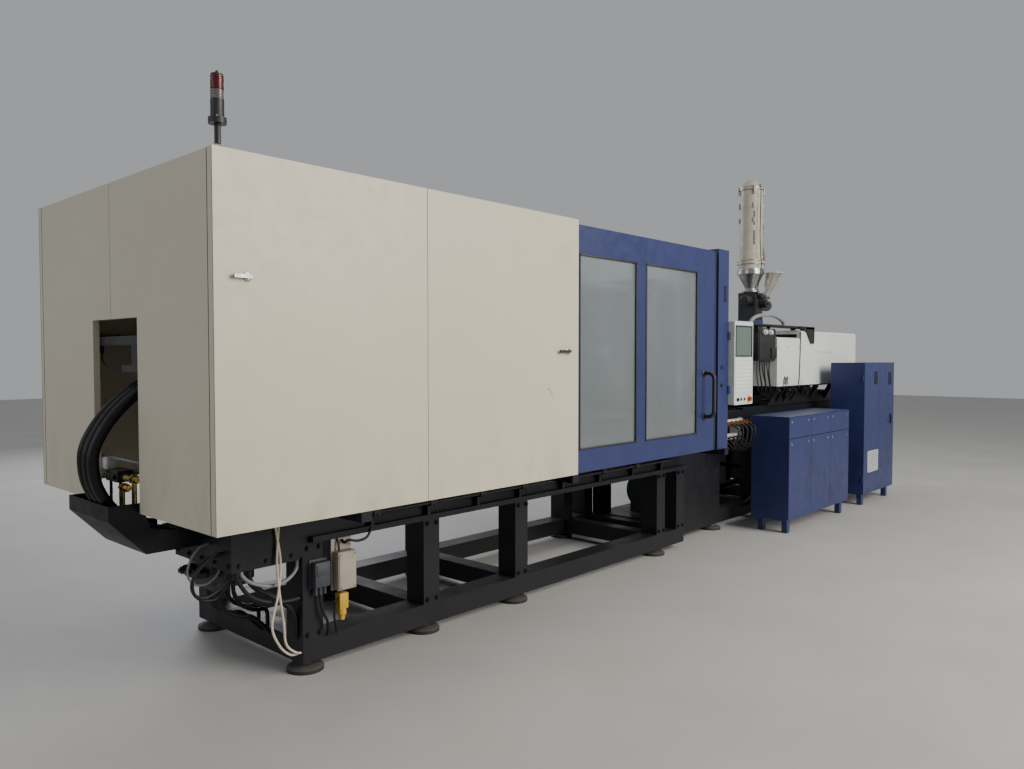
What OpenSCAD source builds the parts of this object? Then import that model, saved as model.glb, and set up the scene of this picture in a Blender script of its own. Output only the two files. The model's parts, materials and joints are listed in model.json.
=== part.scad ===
// Injection moulding machine: toggle clamp on the left, injection unit on the right.
// Lengths run from the outer face of the clamp end cover, heights from the floor,
// and widths from the centre plane of the clamp. The operator stands on the -Y side.

/* [Clamp unit] */
// Height of the clamp and injection axis above the floor
axis_z = 1640; // [1560:10:1720]
// Clear distance between neighbouring tie bars
tie_gap = 780; // [740:10:800]
// Diameter of a tie bar
tie_d = 120; // [90:5:130]
// Width and height of the square platens
platen_side = 1160; // [1140:10:1180]
// Mould face of the fixed platen, from the clamp end
mould_face_x = 3900; // [3880:10:3920]
// Thickness of the fixed platen
fixed_platen_t = 280; // [240:10:290]
// Thickness of the moving platen
moving_platen_t = 220; // [200:10:230]
// Thickness of the tail platen
tail_platen_t = 260; // [230:10:280]
// Opening stroke of the moving platen
mould_stroke = 740; // [700:10:760]
// Thickest mould that the clamp takes
mould_max = 780; // [760:10:800]
// Thinnest mould that the clamp takes
mould_min = 330; // [330:10:400]
// Diameter of the locating hole for the mould
locating_d = 200; // [160:5:200]
// Diameter of the mould bolt holes
mould_bolt_d = 24; // [16:1:30]
// Depth of the mould bolt holes
mould_bolt_depth = 60; // [40:5:80]
// Diameter of the bolt holes on the fixed platen's top edge
robot_bolt_d = 20; // [14:1:24]
// Distance of these holes along the machine
robot_bolt_x = 160; // [140:10:180]
// Distance of these holes across the machine
robot_bolt_y = 400; // [300:10:500]

/* [Toggle] */
// Length of the rear toggle links between their pins
rear_link_len = 420; // [410:1:425]
// Length of the front toggle links between their pins
front_link_len = 530; // [525:1:540]
// Height of the outer toggle pins above the clamp axis
toggle_pin_z = 485; // [480:1:488]
// Diameter of the toggle pins
toggle_pin_d = 70; // [50:2:74]
// Thickness of one toggle plate
link_t = 50; // [40:1:50]
// Length of the links at the crosshead
cross_link_len = 300; // [295:1:310]
// Distance from the tail pin to the crosshead link's pin on a rear link
cross_pin_reach = 330; // [325:1:335]
// Ejector stroke
ejector_stroke = 200; // [150:10:200]
// Diameter of an ejector rod
ejector_rod_d = 40; // [30:1:44]

/* [Die height drive] */
// Teeth of the ring gear
ring_teeth = 100; // [96:4:104]
// Teeth of each tie bar nut
nut_teeth = 26; // [26:4:26]
// Teeth of the drive pinion
pinion_teeth = 18; // [18:4:18]
// Width of the gears
gear_w = 56; // [40:2:58]

/* [Clamp base] */
// Start of the base, from the clamp end
base_x0 = 680; // [640:10:720]
// Height of the clamp base top, without its ways
base_top = 1000; // [980:5:1010]
// Height of the hardened ways on the base
way_t = 20; // [15:1:25]
// Width of a side beam of the base
beam_w = 150; // [120:5:160]
// Height of the upper side beam
beam_h = 330; // [280:10:360]
// Height of the lower sill beam
sill_h = 120; // [100:5:140]
// Height of the levelling mounts
mount_h = 55; // [50:1:70]
// Diameter of a levelling mount
mount_d = 190; // [150:5:210]

/* [Covers] */
// Length of the clamp cover
cover_len = 2335; // [2320:5:2350]
// Height of the lower edge of the clamp cover
cover_z0 = 880; // [870:5:900]
// Height of the upper edge of the clamp cover
cover_z1 = 2430; // [2400:5:2460]
// Half width of the clamp cover
cover_y = 1000; // [980:5:1020]
// Thickness of the sheet metal
sheet_t = 3; // [2:0.5:4]
// Depth of the folded edges of a cover panel
fold = 30; // [20:1:32]
// Depth of the fold that wraps the clamp end corner
corner_fold = 45; // [35:1:60]
// Place of the seam between the two side panels
side_seam_x = 1120; // [1000:10:1200]
// Width of a seam between two panels
seam = 4; // [3:0.5:8]
// Operator-side edge of the hose opening in the end cover
end_gap_y0 = -280; // [-320:5:-260]
// Far edge of the hose opening in the end cover
end_gap_y1 = 240; // [220:5:300]
// Height of the top of the hose opening
end_gap_z = 1780; // [1740:10:1820]
// Diameter of the signal lamp lenses
lamp_d = 54; // [40:1:70]

/* [Safety gates] */
// Distance from the centre plane to the outer face of a gate
gate_y = 950; // [945:1:955]
// Thickness of a gate
gate_t = 40; // [36:1:42]
// Length of a closed gate's end that stays behind the clamp cover
gate_lap = 35; // [25:5:45]
// End of a closed gate
gate_x1 = 4125; // [4115:1:4130]
// Height of the lower edge of a gate
gate_z0 = 875; // [872:1:880]
// Height of the upper edge of a gate
gate_z1 = 2415; // [2405:5:2415]
// Travel of a gate
gate_stroke = 1500; // [1400:10:1500]
// Height of the window sills
window_z0 = 1020; // [980:10:1060]
// Height of the window heads
window_z1 = 2235; // [2200:5:2260]
// Thickness of a window pane
pane_t = 6; // [4:1:8]
// Diameter of the bow handle's tube
handle_d = 30; // [22:1:34]
// Distance that the bow handle stands off the gate
handle_reach = 100; // [80:5:110]

/* [Operator panel] */
// Width of the operator panel
panel_w = 320; // [300:5:340]
// Height of the operator panel
panel_h = 670; // [640:5:700]
// Depth of the operator panel
panel_t = 80; // [60:5:90]
// Height of the lower edge of the operator panel
panel_z = 1215; // [1200:5:1230]

/* [Injection unit] */
// Diameter of the screw
screw_d = 84; // [70:1:90]
// Outer diameter of the barrel
barrel_d = 170; // [150:2:180]
// Place of the nozzle tip with the carriage back
nozzle_x = 4420; // [4400:10:4460]
// Place of the vertical feed column
feed_x = 6660; // [6640:5:6680]
// Stroke of the screw
screw_stroke = 380; // [300:10:400]
// Travel of the injection carriage towards the mould
carriage_stroke = 450; // [400:10:450]
// Height of the ways of the injection base
inj_way_z = 1100; // [1080:5:1110]
// Half width of the injection covers
inj_cover_y = 500; // [480:5:520]
// Start of the front injection cover
inj_cover_x0 = 6240; // [6220:5:6260]
// Joint between the two injection covers
inj_cover_x1 = 6800; // [6800:5:6820]
// End of the rear injection cover, and of the machine
machine_len = 8420; // [8400:10:8500]

/* [Feed column] */
// Width of the square dosing block
doser_w = 190; // [170:5:200]
// Height of the foot of the dosing block
doser_z = 2000; // [1980:10:2020]
// Diameter of the loader's vessel
loader_d = 240; // [220:5:260]
// Height of the top of the loader
loader_z1 = 3500; // [3450:10:3550]

/* [Cabinets] */
// Length of the low cabinet
low_w = 1445; // [1400:5:1460]
// Height of the low cabinet's top
low_z = 1060; // [1040:5:1080]
// Length of the tall cabinet
tall_w = 950; // [900:10:960]
// Distance from the tall cabinet to the end of the machine
cabinet_end = 180; // [150:10:220]
// Distance between the two cabinets
cabinet_gap = 445; // [430:5:460]
// Height of the tall cabinet's top
tall_z = 1535; // [1500:5:1560]
// Depth of both cabinets
cabinet_depth = 360; // [340:5:380]
// Height of the cabinets' feet
cabinet_foot = 120; // [100:5:150]

/* [Hoses] */
// Diameter of one clamp hose
hose_d = 50; // [40:1:56]
// Distance between neighbouring clamp hoses
hose_pitch = 62; // [58:1:70]

/* [Hidden] */
$fn = 48;

navy = "#1b2133";
blue = "#34438a";
cream = "#d9d5c6";
pale = "#d5d9d6";
black = "#17181b";
steel = "#a9adb2";
cast = "#2a3350";

// Clearance of a sliding fit, on the radius
slide_gap = 0.4;
// Clearance of a hinge pin, on the radius
pin_gap = 0.08;
// Gap between pieces that are bolted or seated on each other
seat = 0.3;
// The hoses bulge this far past the end cover
hose_bulge = 150;
hose_out = hose_bulge + hose_d / 2;
mid_x = (machine_len - hose_out) / 2;
tall_x1 = machine_len - cabinet_end;
tall_x0 = tall_x1 - tall_w;
low_x1 = tall_x0 - cabinet_gap;
low_x0 = low_x1 - low_w;
gate_x0 = cover_len - gate_lap;

tie_pitch = tie_gap + tie_d;
bar_r = sqrt(2) * tie_pitch / 2;
half = platen_side / 2;
platen_z0 = axis_z - half;
way_top = base_top + way_t;

// Stations along the clamp, mould open and set for the thickest mould
moving_face_x = mould_face_x - mould_max - mould_stroke;
moving_back_x = moving_face_x - moving_platen_t;
front_ear = 260;
rear_ear = 240;
front_pin_x = moving_back_x - front_ear;
pin_span_open = rear_link_len + front_link_len - mould_stroke;
tail_pin_x = front_pin_x - pin_span_open;
tail_face_x = tail_pin_x - rear_ear;
tail_back_x = tail_face_x - tail_platen_t;

// Toggle angles with the mould open, below the level of the outer pins
rear_link_fold = acos((pow(rear_link_len, 2) + pow(pin_span_open, 2) - pow(front_link_len, 2))
    / (2 * rear_link_len * pin_span_open));
front_link_fold = asin(rear_link_len * sin(rear_link_fold) / front_link_len);
cross_pin_offset = 15;
cross_pin_z = 110;
cross_fold = rear_link_fold + cross_pin_offset;
cross_open_z = toggle_pin_z - cross_pin_reach * sin(cross_fold) - cross_pin_z;
cross_open_x = cross_pin_reach * cos(cross_fold);
crosshead_x = tail_pin_x + cross_open_x + sqrt(pow(cross_link_len, 2) - pow(cross_open_z, 2));
cross_closed_z = toggle_pin_z - cross_pin_reach * sin(cross_pin_offset) - cross_pin_z;
crosshead_stroke = tail_pin_x + cross_pin_reach * cos(cross_pin_offset)
    + sqrt(pow(cross_link_len, 2) - pow(cross_closed_z, 2)) - crosshead_x;
boss_r = 60;
pin_boss_r = 70;
// The three toggle planes on each side, outwards from the centre
plane_in = 190;
plane_gap = 5;
plane_mid = plane_in + link_t + plane_gap;
plane_out = plane_mid + link_t + plane_gap;
cross_plane = plane_in - plane_gap - link_t;
guide_rod_y = 390;
guide_rod_d = 60;
piston_rod_d = 90;
cylinder_bore = 180;
cylinder_d = 250;
cylinder_len = crosshead_stroke + 180;

// Gears of the die height drive share one module
gear_module = 2 * bar_r / (ring_teeth + nut_teeth);
ring_r = gear_module * ring_teeth / 2;
nut_r = gear_module * nut_teeth / 2;
pinion_r = gear_module * pinion_teeth / 2;
gear_x = tail_back_x - 5 - gear_w;
ring_inner = ring_r - 70;
motor_post_z = axis_z + half - 22;
stud_d = 50;
stud_r = ring_inner - stud_d / 2 - slide_gap;

// Base
base_x1 = 4355;
base_y = 550;
beam_z = base_top - beam_h;
post_w = 120;
post_xs = [base_x0, 1480, 2260, mould_face_x + 40, base_x1 - post_w];
rib_xs = [1080, 1480, 1880, 2260, 2700, 3120, 3540, mould_face_x + 40];
rib_d = 35;
rib_t = 20;
flange_t = 30;
sill_top = mount_h + sill_h;
end_plate_t = 12;
end_plate_h = 400;
// Closed end block of the base on the operator side, under the covers
end_block_x0 = 300;
end_block_z0 = 590;
end_block_y1 = 20;
inj_base_x0 = base_x1 + 5;
inj_base_x1 = machine_len - 90;
inj_base_y = 400;
inj_beam_z = 900;
inj_post_pitch = (inj_base_x1 - post_w - inj_base_x0) / 5;
inj_posts = [for (i = [0:5]) inj_base_x0 + i * inj_post_pitch];
inj_beam_w = 120;
pump_floor_t = 8;
tank_z0 = 240;
tank_z1 = inj_way_z - 60;
cabinet_arm_w = 80;
cabinet_arm_h = 60;
cabinet_arm_z = 940;
cabinet_arm_xs = [low_x0 + 520, low_x1 - 145, tall_x0 + 190, tall_x1 - 120];
mount_spots = [
    [base_x0 + 60, base_y - 75], [1540, base_y - 75], [2320, base_y - 75], [4000, base_y - 75],
    for (i = [1, 3, 5]) [inj_posts[i] + 60, inj_base_y - 60],
];

// Gates
window_margin = 110;
window_bar = 115;
window_split = 3040;
windows_x = [[gate_x0 + window_margin, window_split], [window_split + window_bar, gate_x1 - 279]];
handle_x = gate_x1 - 165;
handle_z0 = 1130;
handle_z1 = 1490;
post_x0 = 4173;
post_x1 = 4340;
post_depth = 340;
post_z0 = 870;
post_z1 = 2440;
rail_y = 905;
rail_w = 25;
rail_h = 60;
top_rail_z = gate_z1 - 90;
low_rail_z = gate_z0 + 15;
frame_w = 40;
frame_xs = [base_x0 + 30, gate_x0 - 10, post_x0 - 60];
roof_z = cover_z1 - 2 * sheet_t - seat;
arm_z = 830;
arm_h = 40;
arm_w = 60;
arm_xs = [base_x0 + 30, gate_x0 - 15, post_x0 + 30];
arm_pad_y = 26;

// Operator panel, hung on two knuckles at the post's front corner
panel_x = post_x1 + 8;
panel_y = -1000;
panel_pivot_y = -gate_y - 5;
knuckle_d = 20;
knuckle_h = 60;
knuckle_zs = [panel_z + 90, panel_z + panel_h - 90 - knuckle_h];
stop_x = panel_x + 250;
stop_z = panel_z + 42;
stop_stem_d = 22;

// Injection unit
cover_a_z1 = 1800;
cover_b_z1 = 1880;
plate_z0 = axis_z - 260;
plate_z1 = cover_a_z1 - 40;
plate_x0 = feed_x - 140;
plate_x1 = feed_x + 140;
thrust_x0 = plate_x1 + 200;
thrust_t = 180;
shank_d = screw_d - 10;
throat_d = 80;
cyl_y = 250;
cyl_z = axis_z - 150;
cyl_d = 150;
cyl_wall = 20;
cyl_rod_d = 70;
pull_y = 330;
pull_d = 110;
pull_rod_d = 60;
pull_x0 = 5500;
pull_x1 = plate_x0;
barrel_x0 = 4700;
inj_cover_z0 = 1300;
beam_y0 = 300;
beam_y1 = 400;
beam_top = 1210;
shelf_x0 = 5670;
shelf_x1 = 7120;
shelf_z = 1905;
shelf_t = 14;
funnel_r = 168;
funnel_z0 = 2250;
band_w = 130;
band_gap = 24;
band_d = barrel_d + 26;
band_xs = [for (i = [0:8]) barrel_x0 + 90 + i * (band_w + band_gap)];

// Hose route in the centre plane, [length, height], then down into the tray
valve_l = 80;
valve_x0 = tail_back_x - cylinder_len - 40 - valve_l;
hose_ys = [-150, -150 + hose_pitch, -150 + 2 * hose_pitch];
hose_route = [
    [valve_x0 - seat, 1560], [420, 1560], [320, 1545], [200, 1510], [80, 1448], [-20, 1365], [-95, 1275],
    [5 - hose_bulge, 1175], [-hose_bulge, 1080], [22 - hose_bulge, 990], [-72, 900], [10, 825],
    [110, 770], [200, 740], [end_block_x0 - seat, 740],
];
hose_sides = 10;

// Everything is drawn in machine stations and moved so that X = 0 is the middle of the length
module machine() translate([-mid_x, 0, 0]) children();
// A block between two opposite corners
module block(a, b) translate(a) cube(b - a);
// Round bars along each axis
module bar_x(d, x0, x1, y, z) translate([x0, y, z]) rotate([0, 90, 0]) cylinder(d = d, h = x1 - x0);
module bar_y(d, y0, y1, x, z) translate([x, y0, z]) rotate([-90, 0, 0]) cylinder(d = d, h = y1 - y0);
module bar_z(d, z0, z1, x, y) translate([x, y, z0]) cylinder(d = d, h = z1 - z0);
// The same on the far side of the centre plane
module both_sides() {
    children();
    mirror([0, 1, 0]) children();
}
// The same below the clamp axis
module both_toggles() {
    children();
    translate([0, 0, 2 * axis_z]) mirror([0, 0, 1]) children();
}
// Places on the four tie bars
module at_tie_bars() for (y = [-1, 1], z = [-1, 1])
    translate([0, y * tie_pitch / 2, axis_z + z * tie_pitch / 2]) children();
// A rounded rectangle, centred
module round_rect(w, h, r) {
    square([w - 2 * r, h], center = true);
    square([w, h - 2 * r], center = true);
    for (x = [-1, 1], y = [-1, 1]) translate([x * (w / 2 - r), y * (h / 2 - r)]) circle(r);
}
// A plate in the YZ plane from a drawing whose x is Y and whose y is Z
module plate_yz(x0, x1) translate([x0, 0, 0]) rotate([90, 0, 90]) linear_extrude(x1 - x0) children();
// A plate in the XZ plane from a drawing whose x is X and whose y is Z
module plate_xz(y0, y1) translate([0, y1, 0]) rotate([90, 0, 0]) linear_extrude(y1 - y0) children();
// A round-ended bar between two points of a drawing
module strut(a, b, w) {
    d = b - a;
    translate(a) rotate(atan2(d[1], d[0])) translate([0, -w / 2]) square([norm(d), w]);
}
// A shallow pan of folded sheet that opens inwards, drawn for the operator side
module side_pan(x0, x1, z0, z1, left_fold) difference() {
    union() {
        block([x0, -cover_y, z0], [x1, -cover_y + fold, z1]);
        block([x0, -cover_y, z0], [x0 + sheet_t, -cover_y + left_fold, z1]);
    }
    block([x0 + sheet_t, -cover_y + sheet_t, z0 + sheet_t], [x1 - sheet_t, -cover_y + fold + 1, z1 - sheet_t]);
}

module clamp_base() color(navy) machine() {
    inner_y = base_y - beam_w;
    outer_y = base_y + rib_d;
    both_sides() {
        // Upper beam with its flanges and ribs
        block([base_x0, inner_y, beam_z], [base_x1, base_y, base_top]);
        for (x = rib_xs) block([x, base_y - 1, beam_z], [x + rib_t, outer_y, base_top]);
        for (z = [beam_z, base_top - flange_t])
            block([base_x0 + 40, base_y - 1, z], [base_x1, outer_y, z + flange_t]);
        // Sill and posts
        block([base_x0, inner_y, mount_h], [base_x1, base_y, sill_top]);
        for (x = post_xs) block([x, inner_y, sill_top + seat], [x + post_w, base_y, beam_z - seat]);
        // Hardened way
        block([tail_back_x - 60, base_y - 120, base_top + seat], [mould_face_x - 60, base_y - 20, way_top]);
        // Arms that carry the covers and the gates' frame, with a pad under the covers
        for (x = arm_xs) {
            block([x, base_y + seat, arm_z], [x + arm_w, cover_y - 2, arm_z + arm_h]);
            block([x, cover_y - 2 - arm_pad_y, arm_z + arm_h + seat], [x + arm_w, cover_y - 2, cover_z0 - seat]);
        }
    }
    // Cross members between the two sides
    for (x = post_xs) block([x, seat - inner_y, mount_h], [x + post_w, inner_y - seat, sill_top]);
    for (i = [0, 2, 3, 4]) block([post_xs[i], seat - inner_y, base_top - 200],
        [post_xs[i] + post_w, inner_y - seat, base_top - 1]);
    // End plate, and the closed end block in front of it
    block([base_x0 - end_plate_t, -base_y, base_top - end_plate_h], [base_x0 - seat, base_y, base_top]);
    block([end_block_x0, -base_y, end_block_z0], [base_x0 - end_plate_t - seat, end_block_y1, base_top - 110]);
}

module injection_base() color(navy) machine() {
    inner_y = inj_base_y - inj_beam_w;
    beam_z1 = inj_way_z - way_t;
    both_sides() {
        block([inj_base_x0, inner_y, inj_beam_z], [inj_base_x1, inj_base_y, beam_z1]);
        block([inj_base_x0, inner_y, mount_h], [inj_base_x1, inj_base_y, sill_top]);
        for (x = inj_posts)
            block([x, inner_y, sill_top + seat], [x + post_w, inj_base_y, inj_beam_z - seat]);
        block([plate_x0 - carriage_stroke - 320, inner_y + 20, beam_z1 + seat],
            [inj_base_x1, inj_base_y - 20, inj_way_z]);
    }
    for (x = inj_posts) block([x, seat - inner_y, mount_h], [x + post_w, inner_y - seat, sill_top]);
    for (i = [0:2]) block([inj_posts[i], seat - inner_y, inj_beam_z],
        [inj_posts[i] + post_w, inner_y - seat, beam_z1 - 1]);
    // Floor plate for the pump, side sheet and oil tank
    block([inj_base_x0, seat - inner_y, sill_top + seat], [inj_posts[1], inner_y - seat, sill_top + pump_floor_t]);
    block([inj_posts[0] + post_w + seat, -inj_base_y, sill_top + seat],
        [inj_posts[1] - seat, 8 - inj_base_y, inj_beam_z - seat]);
    block([inj_posts[3] + 60, seat - inner_y, tank_z0], [inj_base_x1, inner_y - seat, tank_z1]);
    // Brackets that hold the cabinets
    for (x = cabinet_arm_xs) block([x, cabinet_depth - cover_y + seat, cabinet_arm_z],
        [x + cabinet_arm_w, -inj_base_y - seat, cabinet_arm_z + cabinet_arm_h]);
}

module levelling_mounts() color("#2b2c2f") machine() both_sides() for (p = mount_spots)
    translate([p[0], p[1], 0]) rotate_extrude() polygon([
        [0, 0], [mount_d / 2, 0], [mount_d / 2, 18], [mount_d / 2 - 12, 26], [40, 32], [22, 36],
        [22, mount_h - seat], [0, mount_h - seat],
    ]);

// Square platen with cut corners, as a drawing
module platen_outline() difference() {
    square(platen_side, center = true);
    for (y = [-1, 1], z = [-1, 1]) translate([y * half, z * half]) rotate(45) square(110, center = true);
}
bolt_spans = [[280, 280], [560, 280], [560, 560]];
module mould_bolt_holes(face_x, side) for (s = bolt_spans, y = [-1, 1], z = [-1, 1])
    bar_x(mould_bolt_d, min(face_x, face_x + side * mould_bolt_depth) - 0.01,
        max(face_x, face_x + side * mould_bolt_depth) + 0.01, y * s[0] / 2, axis_z + z * s[1] / 2);

module fixed_platen() color(cast) machine() {
    back = mould_face_x + fixed_platen_t;
    difference() {
        union() {
            translate([0, 0, axis_z]) plate_yz(mould_face_x, back) platen_outline();
            both_sides() block([mould_face_x + 40, base_y - beam_w + 10, base_top + seat],
                [back - 20, base_y - 10, platen_z0 + 1]);
            bar_x(560, back - 1, back + 30, 0, axis_z);
        }
        at_tie_bars() bar_x(tie_d + 2 * slide_gap, mould_face_x - 1, back + 1, 0, 0);
        bar_x(locating_d, mould_face_x - 1, mould_face_x + 40, 0, axis_z);
        bar_x(140, mould_face_x + 39, back + 31, 0, axis_z);
        translate([mould_face_x + 110, 0, axis_z]) rotate([0, 90, 0])
            cylinder(d1 = 140, d2 = 460, h = fixed_platen_t - 79);
        mould_bolt_holes(mould_face_x, 1);
        for (s = [-1, 1]) bar_x(pull_rod_d + 2 * seat, back - 50, back + 31, s * pull_y, axis_z);
        // Threaded holes for a handling robot on the top edge
        for (x = [-1, 1], y = [-1, 1]) bar_z(robot_bolt_d, axis_z + half - 50, axis_z + half + 1,
            (mould_face_x + back) / 2 + x * robot_bolt_x / 2, y * robot_bolt_y / 2);
    }
}

// The tie bars with their nuts, and the two rods that pull the injection carriage
module tie_bars() color(steel) machine() {
    back = mould_face_x + fixed_platen_t;
    at_tie_bars() {
        bar_x(tie_d, tail_back_x - 130, back + 120, 0, 0);
        difference() {
            bar_x(tie_d + 76, back + seat, back + 95, 0, 0);
            bar_x(tie_d + 2 * seat, back - 1, back + 96, 0, 0);
            for (a = [0:60:300]) rotate([a, 0, 0]) block([back + 20, -9, tie_d / 2 + 24],
                [back + 96, 9, tie_d / 2 + 40]);
        }
    }
    for (s = [-1, 1]) bar_x(pull_rod_d, back - 49, pull_x0 + 60, s * pull_y, axis_z);
}

module side_cover_panels() color(cream) machine() both_sides() {
    side_pan(0, side_seam_x - seam / 2, cover_z0, cover_z1, corner_fold);
    side_pan(side_seam_x + seam / 2, cover_len, cover_z0, cover_z1, fold);
}

module end_panel(y0, y1, gap_y0, gap_y1) difference() {
    block([0, y0, cover_z0], [fold, y1, cover_z1 - sheet_t]);
    difference() {
        block([sheet_t, y0 + sheet_t, cover_z0 + sheet_t], [fold + 1, y1 - sheet_t, cover_z1 - 2 * sheet_t]);
        block([0, gap_y0 - sheet_t, cover_z0 - 1], [fold + 1, gap_y1 + sheet_t, end_gap_z + sheet_t]);
    }
    block([-1, gap_y0, cover_z0 - 1], [fold + 2, gap_y1, end_gap_z]);
}
end_seam_y = 15;
module end_cover_panels() color(cream) machine() {
    end_panel(corner_fold + seat - cover_y, end_seam_y, end_gap_y0, end_seam_y + 5);
    end_panel(end_seam_y + seam, cover_y - corner_fold - seat, end_seam_y - 5, end_gap_y1);
}
// Black bracket that steadies the hoses inside the opening
module end_bracket() color(black) machine() {
    x0 = fold + seat;
    block([x0, -330, 1655], [x0 + 30, 296, 1699]);
    block([x0, -215, 1527], [x0 + 30, -140, 1656]);
    block([x0, -141, 1527], [x0 + 30, -30, 1560]);
    block([x0, 240, 1617], [x0 + 22, 290, 1656]);
}

module cover_roof() color(cream) machine() {
    x0 = fold + seat;
    y1 = cover_y - fold - seat;
    difference() {
        block([x0, -y1, cover_z1 - fold], [cover_len - sheet_t, y1, cover_z1 - sheet_t]);
        block([x0 + sheet_t, sheet_t - y1, cover_z1 - fold - 1],
            [cover_len - 2 * sheet_t, y1 - sheet_t, cover_z1 - 2 * sheet_t]);
        both_sides() block([cover_len - 2 * sheet_t - 1, rail_y, cover_z1 - fold - 1],
            [cover_len, y1 - sheet_t, cover_z1 - 2 * sheet_t]);
    }
}

// Posts, rails and beams bolted together behind the covers
module cover_frame() color(navy) machine() {
    post_y0 = rail_y - rail_w - frame_w;
    post_y1 = rail_y - rail_w;
    end_y = cover_y - corner_fold - seat;
    beam_w = frame_w - 4;
    both_sides() {
        // Corner post and the block that joins it to the upper rail
        block([fold + seat, end_y - frame_w, cover_z0], [fold + frame_w, end_y, top_rail_z - seat]);
        block([fold + seat, rail_y + seat, top_rail_z], [fold + frame_w, end_y, top_rail_z + rail_h]);
        for (x = frame_xs) block([x, post_y0, arm_z + arm_h + seat], [x + frame_w, post_y1, top_rail_z - seat]);
        block([fold + seat, post_y1 + seat, top_rail_z], [post_x0 - seat, rail_y, top_rail_z + rail_h]);
        block([frame_xs[0], post_y1 + seat, low_rail_z], [post_x0 - seat, rail_y, low_rail_z + rail_h]);
        // Straps to the edges of the side panels, above the gate's path
        for (x = [fold + 5, frame_xs[1]]) block([x, post_y1 + seat, roof_z - 6],
            [x + beam_w, cover_y - fold - sheet_t - 2, roof_z]);
    }
    for (x = [fold + 5, frame_xs[0], frame_xs[1]])
        block([x, -post_y1, top_rail_z], [x + beam_w, post_y1, roof_z]);
}

module lamp_stand() color(black) machine() translate([52, 52 - cover_y, cover_z1]) {
    translate([0, 0, seat - sheet_t]) cylinder(d = 40, h = 6);
    cylinder(d = 26, h = 102);
    translate([0, 0, 100]) cylinder(d = 72, h = 24);
    translate([0, 0, 123]) cylinder(d = lamp_d, h = 73);
    translate([0, 0, 123]) cylinder(d = 12, h = 187);
    translate([0, 0, 289]) cylinder(d = lamp_d - 6, h = 8);
}
module lamp_lenses() color("#7a1b22") machine() translate([52, 52 - cover_y, cover_z1]) {
    difference() {
        translate([0, 0, 196]) cylinder(d = lamp_d, h = 37.7);
        translate([0, 0, 195]) cylinder(d = 12.6, h = 60);
    }
    difference() {
        translate([0, 0, 234]) cylinder(d = lamp_d, h = 55);
        translate([0, 0, 233]) cylinder(d = 12.6, h = 60);
    }
}

// A gate as a folded pan with rims round its windows, drawn for the operator side
module gate_shell() {
    difference() {
        block([gate_x0, -gate_y, gate_z0], [gate_x1, gate_t - gate_y, gate_z1]);
        difference() {
            block([gate_x0 + sheet_t, sheet_t - gate_y, gate_z0 + sheet_t],
                [gate_x1 - sheet_t, gate_t - gate_y + 1, gate_z1 - sheet_t]);
            for (w = windows_x) block([w[0] - sheet_t, -gate_y, window_z0 - sheet_t],
                [w[1] + sheet_t, gate_t - gate_y + 2, window_z1 + sheet_t]);
        }
        for (w = windows_x) block([w[0], -gate_y - 1, window_z0], [w[1], gate_t - gate_y + 3, window_z1]);
    }
    // Glides on the upper and lower rail
    for (x = [gate_x0 + 80, (gate_x0 + gate_x1) / 2 - 60, gate_x1 - 260]) {
        block([x, sheet_t - gate_y, top_rail_z + rail_h + 0.4], [x + 120, rail_w - rail_y - 3, top_rail_z + rail_h + 12]);
        block([x, sheet_t - gate_y, low_rail_z + 10], [x + 120, -rail_y - 0.4, low_rail_z + 50]);
    }
}
module gate_panes() for (w = windows_x)
    block([w[0] + 0.3, 8 - gate_y, window_z0 + 0.3], [w[1] - 0.3, 8 + pane_t - gate_y, window_z1 - 0.3]);
module bow_handle() {
    r = 45;
    y1 = -gate_y - handle_reach + handle_d / 2;
    for (z = [handle_z0 + handle_d / 2, handle_z1 - handle_d / 2])
        bar_y(handle_d, y1 + r, -gate_y, handle_x, z);
    bar_z(handle_d, handle_z0 + handle_d / 2 + r, handle_z1 - handle_d / 2 - r, handle_x, y1);
    translate([handle_x, y1 + r, handle_z0 + handle_d / 2 + r]) rotate([0, -90, 0]) rotate([0, 0, 180])
        rotate_extrude(angle = 90) translate([r, 0]) circle(d = handle_d);
    translate([handle_x, y1 + r, handle_z1 - handle_d / 2 - r]) rotate([0, -90, 0]) rotate([0, 0, 270])
        rotate_extrude(angle = 90) translate([r, 0]) circle(d = handle_d);
}
module front_gate() color(blue) machine() gate_shell();
module front_gate_windows() color("#c8d0d2", 0.4) machine() gate_panes();
module front_gate_handle() color(black) machine() translate([0, -seat, 0]) bow_handle();
module rear_gate() color(blue) machine() mirror([0, 1, 0]) {
    gate_shell();
    bow_handle();
}
module rear_gate_windows() color("#c8d0d2", 0.4) machine() mirror([0, 1, 0]) gate_panes();

button_x = 4235;
button_zs = [1517, 1375];
button_d = 22;
grille_x = 4262;
grille_z = 2035;
module gate_posts() color(blue) machine() {
    difference() {
        both_sides() difference() {
            block([post_x0, -gate_y, post_z0], [post_x1, post_depth - gate_y, post_z1]);
            block([post_x0 + sheet_t, sheet_t - gate_y, post_z0 - 1],
                [post_x1 - sheet_t, post_depth - gate_y + 1, post_z1 - sheet_t]);
        }
        for (z = button_zs) bar_y(button_d, -gate_y - 1, sheet_t - gate_y + 1, button_x, z);
        for (c = [0, 1], i = [0:7]) block([grille_x + c * 24, -gate_y - 1, grille_z + i * 16],
            [grille_x + c * 24 + 14, sheet_t - gate_y + 1, grille_z + i * 16 + 8]);
    }
    for (z = knuckle_zs) {
        bar_z(knuckle_d, z, z + knuckle_h, panel_x, panel_pivot_y);
        block([panel_x - 22, panel_pivot_y - 4, z], [panel_x, sheet_t / 2 - gate_y, z + knuckle_h]);
    }
}
module post_button(z) bar_y(button_d - 2 * slide_gap, -gate_y - 9, -gate_y + 12, button_x, z);
module post_button_upper() color(black) machine() post_button(button_zs[0]);
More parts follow.
